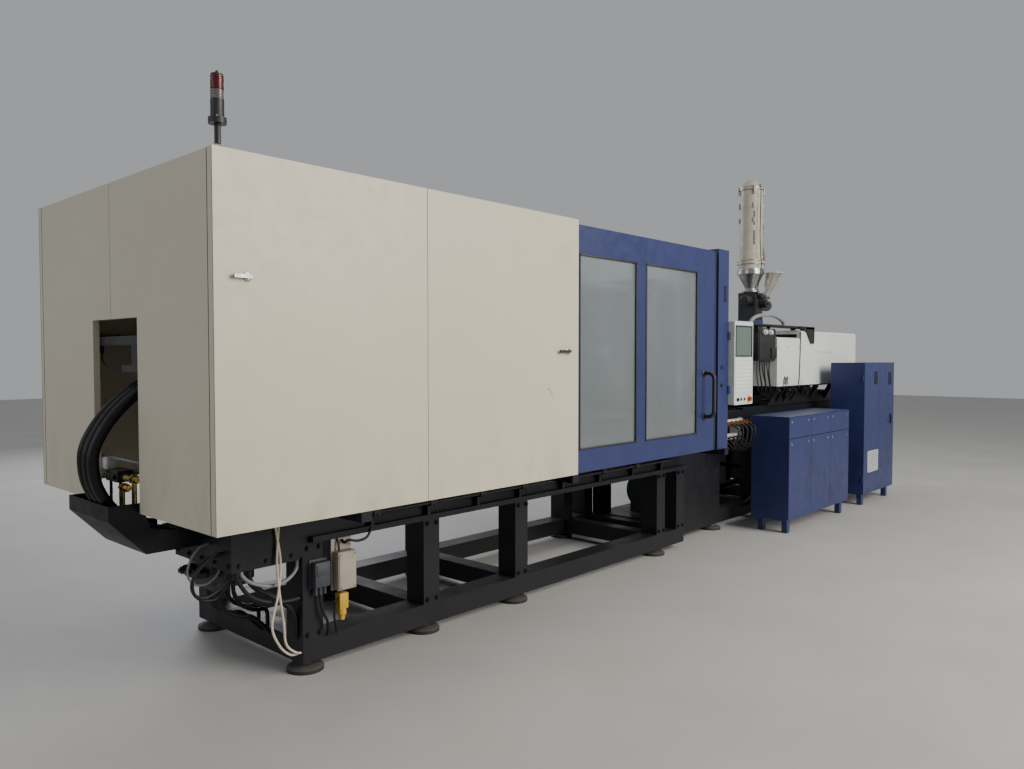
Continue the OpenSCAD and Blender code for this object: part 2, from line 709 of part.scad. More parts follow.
module post_button_lower() color(black) machine() post_button(button_zs[1]);

module latch_lever(x0, x1, z) {
    bar_y(16, -cover_y - 14, -cover_y - 0.4, x1 - 8, z);
    block([x0, -cover_y - 24, z - 8], [x1, -cover_y - 13, z + 8]);
}
module latch_lever_upper() color("#777a7c") machine() latch_lever(78, 153, 1925);
module latch_lever_lower() color(black) machine() latch_lever(cover_len - 195, cover_len - 95, 1632);

// Tray of folded sheet that carries the hoses from the opening to the base
tray_y0 = -250;
tray_y1 = 230;
tray_t = 4;
tray_x0 = -128;
module hose_tray() color(navy) machine() {
    x1 = end_block_x0 - seat;
    for (y = [tray_y0, tray_y1 - tray_t]) plate_xz(y, y + tray_t)
        polygon([[tray_x0, 925], [tray_x0, 854], [40, 680], [x1, 680], [x1, 745], [60, 800], [20, 925]]);
    plate_xz(tray_y0, tray_y1) polygon([
        [tray_x0, 925], [tray_x0, 854], [40, 680], [x1, 680], [x1, 680 + tray_t],
        [42, 680 + tray_t], [tray_x0 + tray_t, 856], [tray_x0 + tray_t, 925],
    ]);
}

function route_tangent(p, i) = let(a = p[max(i - 1, 0)], b = p[min(i + 1, len(p) - 1)]) (b - a) / norm(b - a);
module hose(y) {
    n = len(hose_route);
    points = [for (i = [0:n - 1], k = [0:hose_sides - 1])
        let(t = route_tangent(hose_route, i), a = 360 * k / hose_sides)
        [hose_route[i][0] - t[1] * cos(a) * hose_d / 2, y + sin(a) * hose_d / 2,
            hose_route[i][1] + t[0] * cos(a) * hose_d / 2]];
    sides = [for (i = [0:n - 2], k = [0:hose_sides - 1])
        [i * hose_sides + k, i * hose_sides + (k + 1) % hose_sides,
            (i + 1) * hose_sides + (k + 1) % hose_sides, (i + 1) * hose_sides + k]];
    caps = [[for (k = [hose_sides - 1:-1:0]) k], [for (k = [0:hose_sides - 1]) (n - 1) * hose_sides + k]];
    polyhedron(points, concat(sides, caps));
}
module clamp_hoses() color(black) machine() for (y = hose_ys) hose(y);

module tail_ear() difference() {
    ear_x = tail_face_x + seat;
    union() {
        translate([tail_pin_x, axis_z + toggle_pin_z]) circle(pin_boss_r);
        polygon([[ear_x, axis_z + toggle_pin_z - 110], [ear_x, axis_z + half - 60],
            [tail_pin_x - 60, axis_z + half - 60], [tail_pin_x, axis_z + toggle_pin_z + pin_boss_r],
            [tail_pin_x - 40, axis_z + toggle_pin_z - 57]]);
    }
    translate([tail_pin_x, axis_z + toggle_pin_z]) circle(d = toggle_pin_d);
}
module tail_platen() color(cast) machine() {
    difference() {
        union() {
            translate([0, 0, axis_z]) plate_yz(tail_back_x, tail_face_x) platen_outline();
            both_sides() block([tail_back_x + 20, base_y - beam_w + 10, way_top + slide_gap],
                [tail_face_x - 20, base_y - 10, platen_z0 + 1]);
        }
        at_tie_bars() bar_x(tie_d + 2 * slide_gap, tail_back_x - 1, tail_face_x + 1, 0, 0);
        bar_x(piston_rod_d + 20, tail_back_x - 1, tail_face_x + 1, 0, axis_z);
        for (s = [-1, 1]) bar_x(guide_rod_d + 2 * slide_gap, tail_back_x - 1, tail_face_x + 1, s * guide_rod_y, axis_z);
        both_sides() both_toggles() block([tail_back_x - 1, 60, axis_z + 200], [tail_back_x + 120, 230, axis_z + half - 90]);
    }
    // Ears bolted to its front face
    both_sides() both_toggles() plate_xz(plane_mid, plane_mid + link_t) tail_ear();
    // Studs that carry the ring gear
    for (a = [22.5:45:360]) translate([0, stud_r * cos(a), axis_z + stud_r * sin(a)])
        bar_x(stud_d, gear_x, tail_back_x + 1, 0, 0);
}
module toggle_pin(x, z, y0, y1) both_sides() both_toggles() bar_y(toggle_pin_d, y0, y1, x, z);
module tail_toggle_pins() color(steel) machine() toggle_pin(tail_pin_x, axis_z + toggle_pin_z, plane_in - 12, plane_out + link_t + 12);

module clamp_cylinder() color(cast) machine() difference() {
    cap_x = tail_back_x - cylinder_len;
    union() {
        bar_x(330, tail_back_x - 45, tail_back_x - seat, 0, axis_z);
        bar_x(cylinder_d, cap_x, tail_back_x - 44, 0, axis_z);
        bar_x(cylinder_d + 30, cap_x - 40, cap_x + 20, 0, axis_z);
        // Valve block that the hoses end on
        block([valve_x0, hose_ys[0] - 35, 1510], [cap_x - 39, 50, 1700]);
    }
    bar_x(cylinder_bore + 2 * slide_gap, cap_x, tail_back_x - 60, 0, axis_z);
    bar_x(piston_rod_d + 2 * slide_gap, tail_back_x - 61, tail_back_x + 1, 0, axis_z);
}

// Gear outline with straight-flanked teeth and some backlash
function gear_points(teeth, m) = [for (i = [0:teeth - 1], k = [0:3])
    let(r = m * teeth / 2, p = 360 / teeth, a = i * p + [-0.34, -0.13, 0.13, 0.34][k] * p,
        q = [r - 1.05 * m, r + 0.8 * m, r + 0.8 * m, r - 1.05 * m][k])
    [q * cos(a), q * sin(a)]];
module gear(teeth) polygon(gear_points(teeth, gear_module));

module die_height_gears() color(steel) machine() {
    translate([0, 0, axis_z]) plate_yz(gear_x, gear_x + gear_w) difference() {
        gear(ring_teeth);
        circle(ring_inner, $fn = 96);
    }
    for (a = [45, 135, 225, 315]) translate([0, bar_r * cos(a), axis_z + bar_r * sin(a)]) difference() {
        union() {
            plate_yz(gear_x, gear_x + gear_w) rotate(a + 180) gear(nut_teeth);
            bar_x(2 * nut_r - 50, gear_x - 20, tail_back_x - seat, 0, 0);
        }
        bar_x(tie_d + 2 * slide_gap, gear_x - 30, tail_back_x + 1, 0, 0);
    }
}
module die_height_motor() color(black) machine() {
    z = axis_z + ring_r + pinion_r;
    translate([0, 0, z]) plate_yz(gear_x, gear_x + gear_w) rotate(270 + 180 / pinion_teeth) gear(pinion_teeth);
    bar_x(40, gear_x - 12, gear_x + 1, 0, z);
    bar_x(110, gear_x - 200, gear_x - 11, 0, z);
    block([gear_x - 28, -150, z - 40], [gear_x - 12, 150, z + 60]);
    for (s = [-1, 1]) bar_x(30, gear_x - 13, tail_back_x - seat, s * 132, motor_post_z);
}

// Links are drawn folded, as they stand with the mould open, above the clamp axis
function fold_point(reach, angle) = [tail_pin_x + reach * cos(angle), axis_z + toggle_pin_z - reach * sin(angle)];
knee = fold_point(rear_link_len, rear_link_fold);
cross_joint = fold_point(cross_pin_reach, cross_fold);
tail_pin = [tail_pin_x, axis_z + toggle_pin_z];
front_pin = [front_pin_x, axis_z + toggle_pin_z];
cross_pin = [crosshead_x, axis_z + cross_pin_z];
module rear_link_plate() difference() {
    union() {
        for (p = [tail_pin, knee]) translate(p) circle(boss_r);
        translate(cross_joint) circle(45);
        strut(tail_pin, knee, 96);
        strut(tail_pin, cross_joint, 60);
        polygon([tail_pin, cross_joint, knee]);
        strut(cross_joint, knee, 70);
    }
    translate(tail_pin) circle(d = toggle_pin_d + 2 * pin_gap);
    translate(knee) circle(d = toggle_pin_d);
    translate(cross_joint) circle(d = 40);
}
module rear_link() both_sides() {
    plate_xz(plane_in, plane_in + link_t) rear_link_plate();
    plate_xz(plane_out, plane_out + link_t) rear_link_plate();
    for (y = [plane_in, plane_out]) {
        bar_y(toggle_pin_d, y, y + link_t, knee[0], knee[1]);
        bar_y(40, y, y + link_t, cross_joint[0], cross_joint[1]);
    }
}
module front_link() both_sides() plate_xz(plane_mid, plane_mid + link_t) difference() {
    union() {
        translate(knee) circle(boss_r - 5);
        translate(front_pin) circle(boss_r);
        strut(knee, front_pin, 100);
    }
    translate(knee) circle(d = toggle_pin_d);
    translate(front_pin) circle(d = toggle_pin_d + 2 * pin_gap);
}
module cross_link() both_sides() plate_xz(cross_plane, cross_plane + link_t) difference() {
    union() {
        translate(cross_joint) circle(42);
        translate(cross_pin) circle(42);
        strut(cross_joint, cross_pin, 66);
    }
    translate(cross_joint) circle(d = 40);
    translate(cross_pin) circle(d = 44 + 2 * pin_gap);
}
module below_axis() translate([0, 0, 2 * axis_z]) mirror([0, 0, 1]) children();
module rear_link_top() color(steel) machine() rear_link();
module rear_link_bottom() color(steel) machine() below_axis() rear_link();
module front_link_top() color(steel) machine() front_link();
module front_link_bottom() color(steel) machine() below_axis() front_link();
module cross_link_top() color(steel) machine() cross_link();
module cross_link_bottom() color(steel) machine() below_axis() cross_link();

module crosshead() color(steel) machine() {
    ear_y = cross_plane - plane_gap;
    block([crosshead_x - 55, -ear_y, axis_z - 70], [crosshead_x + 55, ear_y, axis_z + 70]);
    // Beam, thin where the knees pass it, with an eye for each guide rod
    block([crosshead_x - 36, -guide_rod_y, axis_z - 28], [crosshead_x + 36, guide_rod_y, axis_z + 28]);
    both_sides() block([crosshead_x - 42, plane_out + link_t + 3, axis_z - 38],
        [crosshead_x + 42, guide_rod_y + 42, axis_z + 38]);
    both_sides() both_toggles() {
        plate_xz(ear_y - link_t, ear_y) union() {
            translate(cross_pin) circle(42);
            translate([crosshead_x - 42, axis_z]) square([84, cross_pin_z]);
        }
        bar_y(44, ear_y - 1, cross_plane + link_t + 2, cross_pin[0], cross_pin[1]);
    }
    bar_x(piston_rod_d, tail_back_x - cylinder_len + 40, crosshead_x - 54, 0, axis_z);
    bar_x(cylinder_bore, tail_back_x - cylinder_len + 10, tail_back_x - cylinder_len + 90, 0, axis_z);
    for (s = [-1, 1]) bar_x(guide_rod_d, tail_back_x - crosshead_stroke - 20, crosshead_x - 41, s * guide_rod_y, axis_z);
}

module front_ear_plate() difference() {
    union() {
        translate(front_pin) circle(pin_boss_r);
        polygon([[moving_back_x + 1, axis_z + toggle_pin_z - 150], [moving_back_x + 1, axis_z + half - 60],
            [front_pin_x, axis_z + toggle_pin_z + 60], [front_pin_x + 40, axis_z + toggle_pin_z - 57]]);
    }
    translate(front_pin) circle(d = toggle_pin_d);
}
ejector_spots = [[0, 0], [-125, 0], [125, 0], [0, 125], [0, -125]];
ejector_pull = [[-125, 125], [125, -125]];
module moving_platen() color(cast) machine() {
    difference() {
        union() {
            translate([0, 0, axis_z]) plate_yz(moving_back_x, moving_face_x) platen_outline();
            both_sides() block([moving_back_x - 60, base_y - beam_w + 10, way_top + slide_gap],
                [moving_face_x - 10, base_y - 10, platen_z0 + 30]);
        }
        at_tie_bars() bar_x(tie_d + 2 * slide_gap, moving_back_x - 61, moving_face_x + 1, 0, 0);
        mould_bolt_holes(moving_face_x, -1);
        for (p = ejector_spots) bar_x(ejector_rod_d + 2 * slide_gap, moving_back_x - 1, moving_face_x + 1, p[0], axis_z + p[1]);
        for (p = ejector_pull) bar_x(46, moving_back_x - 1, moving_face_x - 12, p[0], axis_z + p[1]);
    }
    both_sides() both_toggles() for (y = [plane_in, plane_out])
        plate_xz(y, y + link_t) front_ear_plate();
}
module front_toggle_pins() color(steel) machine() toggle_pin(front_pin_x, axis_z + toggle_pin_z, plane_in - 12, plane_out + link_t + 12);
ejector_x = moving_back_x - ejector_stroke - 70;
module ejector_plate() color(steel) machine() {
    translate([0, 0, axis_z]) plate_yz(ejector_x, ejector_x + 45) round_rect(330, 330, 20);
    for (p = ejector_spots) bar_x(ejector_rod_d, ejector_x + 44, moving_face_x - 2, p[0], axis_z + p[1]);
    for (p = ejector_pull) bar_x(45.2, ejector_x + 44, moving_back_x + 6, p[0], axis_z + p[1]);
}

screen_x0 = panel_x + 25;
screen_x1 = panel_x + panel_w - 25;
screen_z0 = panel_z + 395;
screen_z1 = panel_z + 625;
module operator_panel() color(pale) machine() difference() {
    translate([panel_x + panel_w / 2, panel_y + panel_t, panel_z + panel_h / 2]) rotate([90, 0, 0])
        linear_extrude(panel_t) round_rect(panel_w, panel_h, 12);
    block([screen_x0, panel_y - 1, screen_z0], [screen_x1, panel_y + 6, screen_z1]);
    bar_y(stop_stem_d + 2 * slide_gap, panel_y - 1, panel_y + 20, stop_x, stop_z);
    for (z = knuckle_zs) bar_z(knuckle_d + 2 * slide_gap, z - 1, z + knuckle_h + 1, panel_x, panel_pivot_y);
}
module panel_screen() color("#6d7d78") machine()
    block([screen_x0 + seat, panel_y + 1, screen_z0 + seat], [screen_x1 - seat, panel_y + 6 - seat, screen_z1 - seat]);
module emergency_stop() color("#c02a25") machine() translate([stop_x, panel_y, stop_z]) rotate([90, 0, 0]) {
    translate([0, 0, -11]) cylinder(d = stop_stem_d, h = 24);
    translate([0, 0, 12]) cylinder(d1 = 36, d2 = 40, h = 10);
}

door_t = 22;
low_groove_z = 859;
low_seams = [low_x0, low_x0 + 490, low_x0 + 953, low_x1];
module cabinet_feet(x0, x1) for (x = [x0 + 60, x1 - 120], y = [40 - cover_y, cabinet_depth - cover_y - 90])
    block([x, y, 0], [x + 60, y + 50, cabinet_foot + 1]);
module low_cabinet() color(blue) machine() {
    y0 = -cover_y;
    y1 = cabinet_depth - cover_y;
    block([low_x0, y0 + door_t, cabinet_foot], [low_x1, y1, low_z - 3]);
    translate([(low_x0 + low_x1) / 2, (y0 + y1) / 2, low_z - 4]) linear_extrude(4)
        round_rect(low_x1 - low_x0, cabinet_depth, 20);
    for (i = [0:2]) {
        x0 = low_seams[i] + (i > 0 ? seam / 2 : 0);
        x1 = low_seams[i + 1] - (i < 2 ? seam / 2 : 0);
        block([x0, y0, low_groove_z + 6], [x1, y0 + door_t + 1, low_z - 7]);
        block([x0, y0, cabinet_foot + 10], [x1, y0 + door_t + 1, low_groove_z]);
    }
    cabinet_feet(low_x0, low_x1);
}
module tall_cabinet() color(blue) machine() {
    y0 = -cover_y;
    y1 = cabinet_depth - cover_y;
    difference() {
        block([tall_x0, y0 + tall_door_t + seat, cabinet_foot], [tall_x1, y1, tall_z]);
        block([tall_x0 + 30, y0 + tall_door_t, cabinet_foot + 30], [tall_x1 - 30, y1 - sheet_t, tall_z - 30]);
    }
    // Mounting plate with its gear
    block([tall_x0 + 60, y1 - 30, cabinet_foot + 80], [tall_x1 - 60, y1 - sheet_t + 1, tall_z - 80]);
    cabinet_feet(tall_x0, tall_x1);
    // Lower half of each hinge, with its pin
    for (s = [-1, 1], z = hinge_zs) {
        x = s < 0 ? tall_x0 : tall_x1;
        bar_z(hinge_d, z, z + hinge_h / 2 - slide_gap, x + s * hinge_out, hinge_y);
        bar_z(hinge_pin_d, z, z + hinge_h, x + s * hinge_out, hinge_y);
        block([min(x + s * seat, x + s * hinge_leaf_t), hinge_y, z],
            [max(x + s * seat, x + s * hinge_leaf_t), hinge_y + 34, z + hinge_h / 2 - slide_gap]);
        block([min(x - s, x + s * hinge_leaf_t), hinge_y + 20, z],
            [max(x - s, x + s * hinge_leaf_t), hinge_y + 34, z + hinge_h / 2 - slide_gap]);
    }
}
tall_door_t = 24;
tall_mid = (tall_x0 + tall_x1) / 2;
hinge_d = 12;
// Distance of a hinge axis from the cabinet's side
hinge_out = hinge_d / 2 + seat;
hinge_pin_d = 6;
hinge_leaf_t = 4;
hinge_h = 60;
hinge_y = tall_door_t / 2 - cover_y;
hinge_zs = [cabinet_foot + 130, tall_z - 190];
// A door with the upper half of each hinge, on the side that s names
module tall_door(x0, x1, s) {
    y0 = -cover_y;
    z0 = cabinet_foot + 4;
    x = s < 0 ? x0 : x1;
    difference() {
        block([x0, y0, z0], [x1, y0 + tall_door_t, tall_z]);
        block([x0 + sheet_t, y0 + sheet_t, z0 + sheet_t], [x1 - sheet_t, y0 + tall_door_t + 1, tall_z - sheet_t]);
    }
    for (z = hinge_zs) difference() {
        union() {
            bar_z(hinge_d, z + hinge_h / 2, z + hinge_h, x + s * hinge_out, hinge_y);
            block([min(x - s, x + s * hinge_leaf_t), hinge_y - 10, z + hinge_h / 2],
                [max(x - s, x + s * hinge_leaf_t), hinge_y + 4, z + hinge_h]);
        }
        bar_z(hinge_pin_d + 2 * pin_gap, z, z + hinge_h + 1, x + s * hinge_out, hinge_y);
    }
}
module tall_door_left() color(blue) machine() tall_door(tall_x0, tall_mid - seam / 2, -1);
module tall_door_right() color(blue) machine() tall_door(tall_mid + seam / 2, tall_x1, 1);

manifold_x0 = inj_base_x0 + 620;
manifold_x1 = inj_base_x0 + 1140;
manifold_zs = [860, 990];
manifold_d = 60;
manifold_y = inj_base_y + 70;
branch_d = 28;
branch_pitch = 80;
module cooling_manifold() color("#dcdedd") machine() {
    for (z = manifold_zs) bar_x(manifold_d, manifold_x0, manifold_x1, -manifold_y, z);
    for (i = [0:5]) bar_y(branch_d, -manifold_y - 90, -manifold_y - 1,
        manifold_x0 + 60 + i * branch_pitch, manifold_zs[1]);
    for (x = [manifold_x0 + 40, manifold_x1 - 60]) block([x, -manifold_y - 30, manifold_zs[0] - 20],
        [x + 20, -inj_base_y - seat, manifold_zs[1] + 20]);
}

// Electric motor with cooling ribs, and the pump flanged to it
pump_x0 = inj_base_x0 + 200;
pump_d = 330;
pump_len = 440;
pump_rib_pitch = 23;
module pump_unit() color("#3b4350") machine() {
    foot_z = sill_top + pump_floor_t + seat;
    z = foot_z + 207;
    x1 = pump_x0 + pump_len;
    bar_x(pump_d, pump_x0, x1, 0, z);
    for (i = [0:17]) bar_x(pump_d + 22, pump_x0 + 20 + i * pump_rib_pitch, pump_x0 + 26 + i * pump_rib_pitch, 0, z);
    bar_x(180, x1 - 1, x1 + 80, 0, z);
    block([x1 + 79, -75, z - 80], [x1 + 105, 75, z + 90]);
    block([pump_x0 + 40, -150, foot_z], [x1 - 40, 150, z - 120]);
}

module carriage() color(black) machine() {
    x0 = inj_cover_x0 + 10;
    x1 = machine_len - 60;
    web = [[beam_y1 - 1, 1115], [beam_y1 - 1, beam_top - 1], [beam_y1 + 40, inj_cover_z0 - 13],
        [inj_cover_y - 5, inj_cover_z0 - 13], [inj_cover_y - 5, inj_cover_z0 - 30]];
    both_sides() {
        block([x0, beam_y0, inj_way_z + slide_gap], [x1, beam_y1, beam_top]);
        for (x = [x0, x0 + 180, x0 + 360, x0 + 540, plate_x1 + 500, x1 - 640, x1 - 20]) plate_yz(x, x + 20) polygon(web);
        block([x0, beam_y1 + 30, inj_cover_z0 - 14], [x1, inj_cover_y - 4, inj_cover_z0 - seat]);
    }
    for (x = [x0, plate_x0, plate_x1 + 500, x1 - 100])
        block([x, -beam_y0 - 1, 1130], [x + 100, beam_y0 + 1, beam_top - 10]);
    block([plate_x0 + 10, -220, beam_top - 11], [plate_x1 - 10, 220, plate_z0 - seat]);
}

module barrel() color(steel) machine() difference() {
    union() {
        translate([nozzle_x, 0, axis_z]) rotate([0, 90, 0]) cylinder(d1 = 24, d2 = 60, h = 60);
        bar_x(60, nozzle_x + 59, nozzle_x + 120, 0, axis_z);
        bar_x(86, nozzle_x + 119, barrel_x0 - 90, 0, axis_z);
        bar_x(barrel_d + 20, barrel_x0 - 91, barrel_x0, 0, axis_z);
        bar_x(barrel_d, barrel_x0 - 1, plate_x1 - 2, 0, axis_z);
    }
    bar_x(screw_d + 2 * slide_gap, barrel_x0 - 40, plate_x1 + 1, 0, axis_z);
    bar_x(8, nozzle_x - 1, barrel_x0 - 39, 0, axis_z);
    bar_z(throat_d, axis_z, axis_z + barrel_d, feed_x, 0);
}
module heater_bands() color("#8d9093") machine() for (x = band_xs) {
    difference() {
        bar_x(band_d, x, x + band_w, 0, axis_z);
        bar_x(barrel_d + 2 * seat, x - 1, x + band_w + 1, 0, axis_z);
    }
    block([x + 35, -20, axis_z + band_d / 2 - 3], [x + 95, 20, axis_z + band_d / 2 + 36]);
}
module screw() color(steel) machine() {
    core_d = screw_d - 22;
    flight_x0 = barrel_x0 + 230;
    translate([barrel_x0 - 10, 0, axis_z]) rotate([0, 90, 0]) cylinder(d1 = 20, d2 = screw_d - 14, h = 90);
    bar_x(core_d, barrel_x0 + 79, plate_x1 + 60, 0, axis_z);
    bar_x(screw_d, barrel_x0 + 120, barrel_x0 + 150, 0, axis_z);
    for (i = [0:20]) bar_x(screw_d, flight_x0 + i * screw_d, flight_x0 + i * screw_d + 12, 0, axis_z);
    bar_x(shank_d, plate_x1 + 59, thrust_x0 + 120, 0, axis_z);
}
module front_plate() color(cast) machine() difference() {
    union() {
        plate_yz(plate_x0, plate_x1) translate([0, (plate_z0 + plate_z1) / 2])
            round_rect(820, plate_z1 - plate_z0, 40);
        block([plate_x0 + 20, -90, axis_z], [plate_x1 - 20, 90, doser_z]);
    }
    bar_x(barrel_d + 2 * seat, plate_x0 - 1, plate_x1 - 1, 0, axis_z);
    bar_x(screw_d + 20, plate_x1 - 2, plate_x1 + 1, 0, axis_z);
    bar_z(throat_d, axis_z, doser_z + 1, feed_x, 0);
    for (s = [-1, 1]) bar_x(cyl_d + 2 * seat, plate_x0 - 1, plate_x1 + 1, s * cyl_y, cyl_z);
}
module injection_cylinders() color(black) machine() for (s = [-1, 1]) difference() {
    bar_x(cyl_d, plate_x0 - 130, plate_x1 + 180, s * cyl_y, cyl_z);
    bar_x(cyl_d - 2 * cyl_wall, plate_x0 - 110, plate_x1 + 160, s * cyl_y, cyl_z);
    bar_x(cyl_rod_d + 2 * slide_gap, plate_x1 + 159, plate_x1 + 181, s * cyl_y, cyl_z);
}
module thrust_plate() color(cast) machine() {
    x1 = thrust_x0 + thrust_t;
    difference() {
        plate_yz(thrust_x0, x1) translate([0, (plate_z0 + plate_z1) / 2])
            round_rect(760, plate_z1 - plate_z0, 40);
        bar_x(shank_d + 2 * slide_gap, thrust_x0 - 1, thrust_x0 + 130, 0, axis_z);
    }
    for (s = [-1, 1]) {
        bar_x(cyl_rod_d, plate_x0 - 60, thrust_x0 + 1, s * cyl_y, cyl_z);
        bar_x(cyl_d - 2 * cyl_wall - 2 * slide_gap, plate_x0 - 100, plate_x0 - 50, s * cyl_y, cyl_z);
        block([thrust_x0 + 10, s * 345 - 25, beam_top + slide_gap], [x1 - 10, s * 345 + 25, plate_z0 + 40]);
    }
    // Hydraulic motor that turns the screw
    bar_x(300, x1 - 1, x1 + 160, 0, axis_z);
    bar_x(340, x1 + 150, x1 + 260, 0, axis_z);
    bar_x(200, x1 + 250, x1 + 420, 0, axis_z);
}

// An inverted trough of sheet metal with rounded upper edges
module trough(x0, x1, z1) difference() {
    plate_yz(x0, x1) trough_outline(0, z1);
    plate_yz(x0 + sheet_t, x1 - sheet_t) trough_outline(sheet_t, z1);
}
module trough_outline(inset, z1) {
    r = 30;
    z0 = inj_cover_z0 - (inset > 0 ? 1 : 0);
    translate([inset - inj_cover_y, z0]) square([2 * (inj_cover_y - inset), z1 - r - z0]);
    translate([r - inj_cover_y, z1 - r - 1]) square([2 * (inj_cover_y - r), r - inset + 1]);
    for (s = [-1, 1]) translate([s * (inj_cover_y - r), z1 - r]) circle(r - inset);
}
module injection_covers() color(pale) machine() {
    difference() {
        trough(inj_cover_x0, inj_cover_x1 - 1, cover_a_z1);
        bar_x(band_d + 30, inj_cover_x0 - 1, inj_cover_x0 + 5, 0, axis_z);
        block([inj_cover_x1 - 10, -inj_cover_y + 40, inj_cover_z0 - 2], [inj_cover_x1, inj_cover_y - 40, cover_a_z1 - 40]);
        block([plate_x0 + 10, -100, cover_a_z1 - 10], [plate_x1 - 10, 100, cover_a_z1 + 1]);
        for (s = [-1, 1]) bar_x(pull_d + 10, inj_cover_x0 - 1, inj_cover_x0 + 5, s * pull_y, axis_z);
        for (i = [0, 1]) translate([6410 + i * 60, 0, 1352]) rotate([0, 24, 0]) union() {
            block([-11, -inj_cover_y - 1, -26], [11, -inj_cover_y + 5, 26]);
            for (z = [-26, 26]) bar_y(22, -inj_cover_y - 1, -inj_cover_y + 5, 0, z);
        }
    }
    difference() {
        trough(inj_cover_x1 + 1, machine_len, cover_b_z1);
        block([inj_cover_x1, -inj_cover_y + 40, inj_cover_z0 - 2], [inj_cover_x1 + 10, inj_cover_y - 40, cover_b_z1 - 40]);
    }
    // Shelf over the covers with its legs and tapered side plate
    block([shelf_x0, -inj_cover_y, shelf_z], [shelf_x1, -330, shelf_z + shelf_t]);
    for (x = [6830, 7080]) block([x, -420, cover_b_z1 - 1], [x + 30, -380, shelf_z + 1]);
    plate_xz(-inj_cover_y - 20, 2 - inj_cover_y) polygon([[6770, shelf_z + shelf_t], [shelf_x1, shelf_z + shelf_t],
        [shelf_x1, 1895], [6900, shelf_z], [6770, shelf_z]]);
    plate_xz(-inj_cover_y - 20, -inj_cover_y - 5)
        polygon([[6900, shelf_z + 5], [shelf_x1, shelf_z + 5], [shelf_x1, 1745], [7060, 1745]]);
}

module doser() color(black) machine() {
    side = doser_w / 2;
    block([feed_x - side, -side, doser_z + seat], [feed_x + side, side, doser_z + 290]);
    bar_x(96, feed_x - side - 90, feed_x - side + 1, -30, doser_z + 200);
    bar_y(90, -side - 70, 1 - side, feed_x + 40, doser_z + 170);
    translate([feed_x, 0, doser_z + 289]) cylinder(d = 150, h = 12);
    // Ledge that the side funnel stands on
    translate([feed_x, 0, 0]) rotate([0, 0, -45]) block([80, -35, funnel_z0 - 26], [funnel_r + 35, 35, funnel_z0 - seat]);
}
module loader() color("#b7b3a8") machine() translate([feed_x, 0, 0]) {
    z0 = doser_z + 301 + seat;
    rotate_extrude() polygon([
        [0, z0], [90, z0], [90, z0 + 14], [58, z0 + 14], [58, z0 + 40], [loader_d / 2 + 10, 2490],
        [loader_d / 2 + 22, 2490], [loader_d / 2 + 22, 2530], [loader_d / 2 + 12, 2534],
        [loader_d / 2 + 12, 2590], [loader_d / 2 + 22, 2594], [loader_d / 2 + 22, 2640],
        [loader_d / 2 + 6, 2646], [loader_d / 2 + 6, 2690], [loader_d / 2, 2694],
        [loader_d / 2, loader_z1 - 110], [loader_d / 2 + 8, loader_z1 - 108], [loader_d / 2 + 8, loader_z1 - 80],
        [loader_d / 2 - 10, loader_z1 - 70], [60, loader_z1 - 8], [30, loader_z1], [0, loader_z1],
    ]);
}
// Clear funnel that leans out from the dosing block
module funnel_cone(inset) hull() {
    translate([funnel_r, 0, funnel_z0 + 2 * inset]) cylinder(d = 60 - 2 * inset, h = 4, $fn = 32);
    translate([funnel_r + 90, 0, 2505]) cylinder(d = 170 - 2 * inset, h = 4 + inset, $fn = 32);
}
module feed_funnel() color("#d6d4c8", 0.7) machine() translate([feed_x, 0, 0]) rotate([0, 0, -45]) difference() {
    funnel_cone(0);
    funnel_cone(4);
}
module carriage_cylinders() color("#5a5e62") machine() for (s = [-1, 1]) difference() {
    union() {
        bar_x(pull_d, pull_x0, pull_x1 - seat, s * pull_y, axis_z);
        bar_x(pull_d + 24, pull_x0 - 1, pull_x0 + 60, s * pull_y, axis_z);
    }
    bar_x(pull_rod_d + 2 * slide_gap, pull_x0 - 2, pull_x1 - 60, s * pull_y, axis_z);
}

clamp_base();
injection_base();
levelling_mounts();
fixed_platen();
tie_bars();
side_cover_panels();
end_cover_panels();
cover_roof();
cover_frame();
lamp_stand();
lamp_lenses();
gate_posts();
low_cabinet();
tall_cabinet();
hose_tray();
end_bracket();
clamp_hoses();
cooling_manifold();
pump_unit();
tail_platen();
tail_toggle_pins();
clamp_cylinder();
die_height_gears();
die_height_motor();
rear_link_top();
rear_link_bottom();
front_link_top();
front_link_bottom();
crosshead();
cross_link_top();
cross_link_bottom();
moving_platen();
front_toggle_pins();
ejector_plate();
latch_lever_upper();
latch_lever_lower();
front_gate();
front_gate_windows();
front_gate_handle();
rear_gate();
rear_gate_windows();
post_button_upper();
post_button_lower();
operator_panel();
panel_screen();
emergency_stop();
tall_door_left();
tall_door_right();
carriage();
barrel();
heater_bands();
screw();
front_plate();
injection_cylinders();
thrust_plate();
injection_covers();
doser();
loader();
feed_funnel();
carriage_cylinders();
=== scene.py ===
# %% [markdown]
# # An injection moulding machine, dressed in Blender
# The shape of the machine comes from its CAD model, which is loaded first and is never moved.
# This lesson gives each CAD solid its real finish, and then adds what a CAD model leaves out:
# hoses that hang, gaskets, latches, keys, pipes, clamps and cables. All places are given as on a
# machine drawing: millimetres from the clamp end, from the centre plane and from the floor.

# %% Load the machine
import json
from math import cos, pi, radians, sin

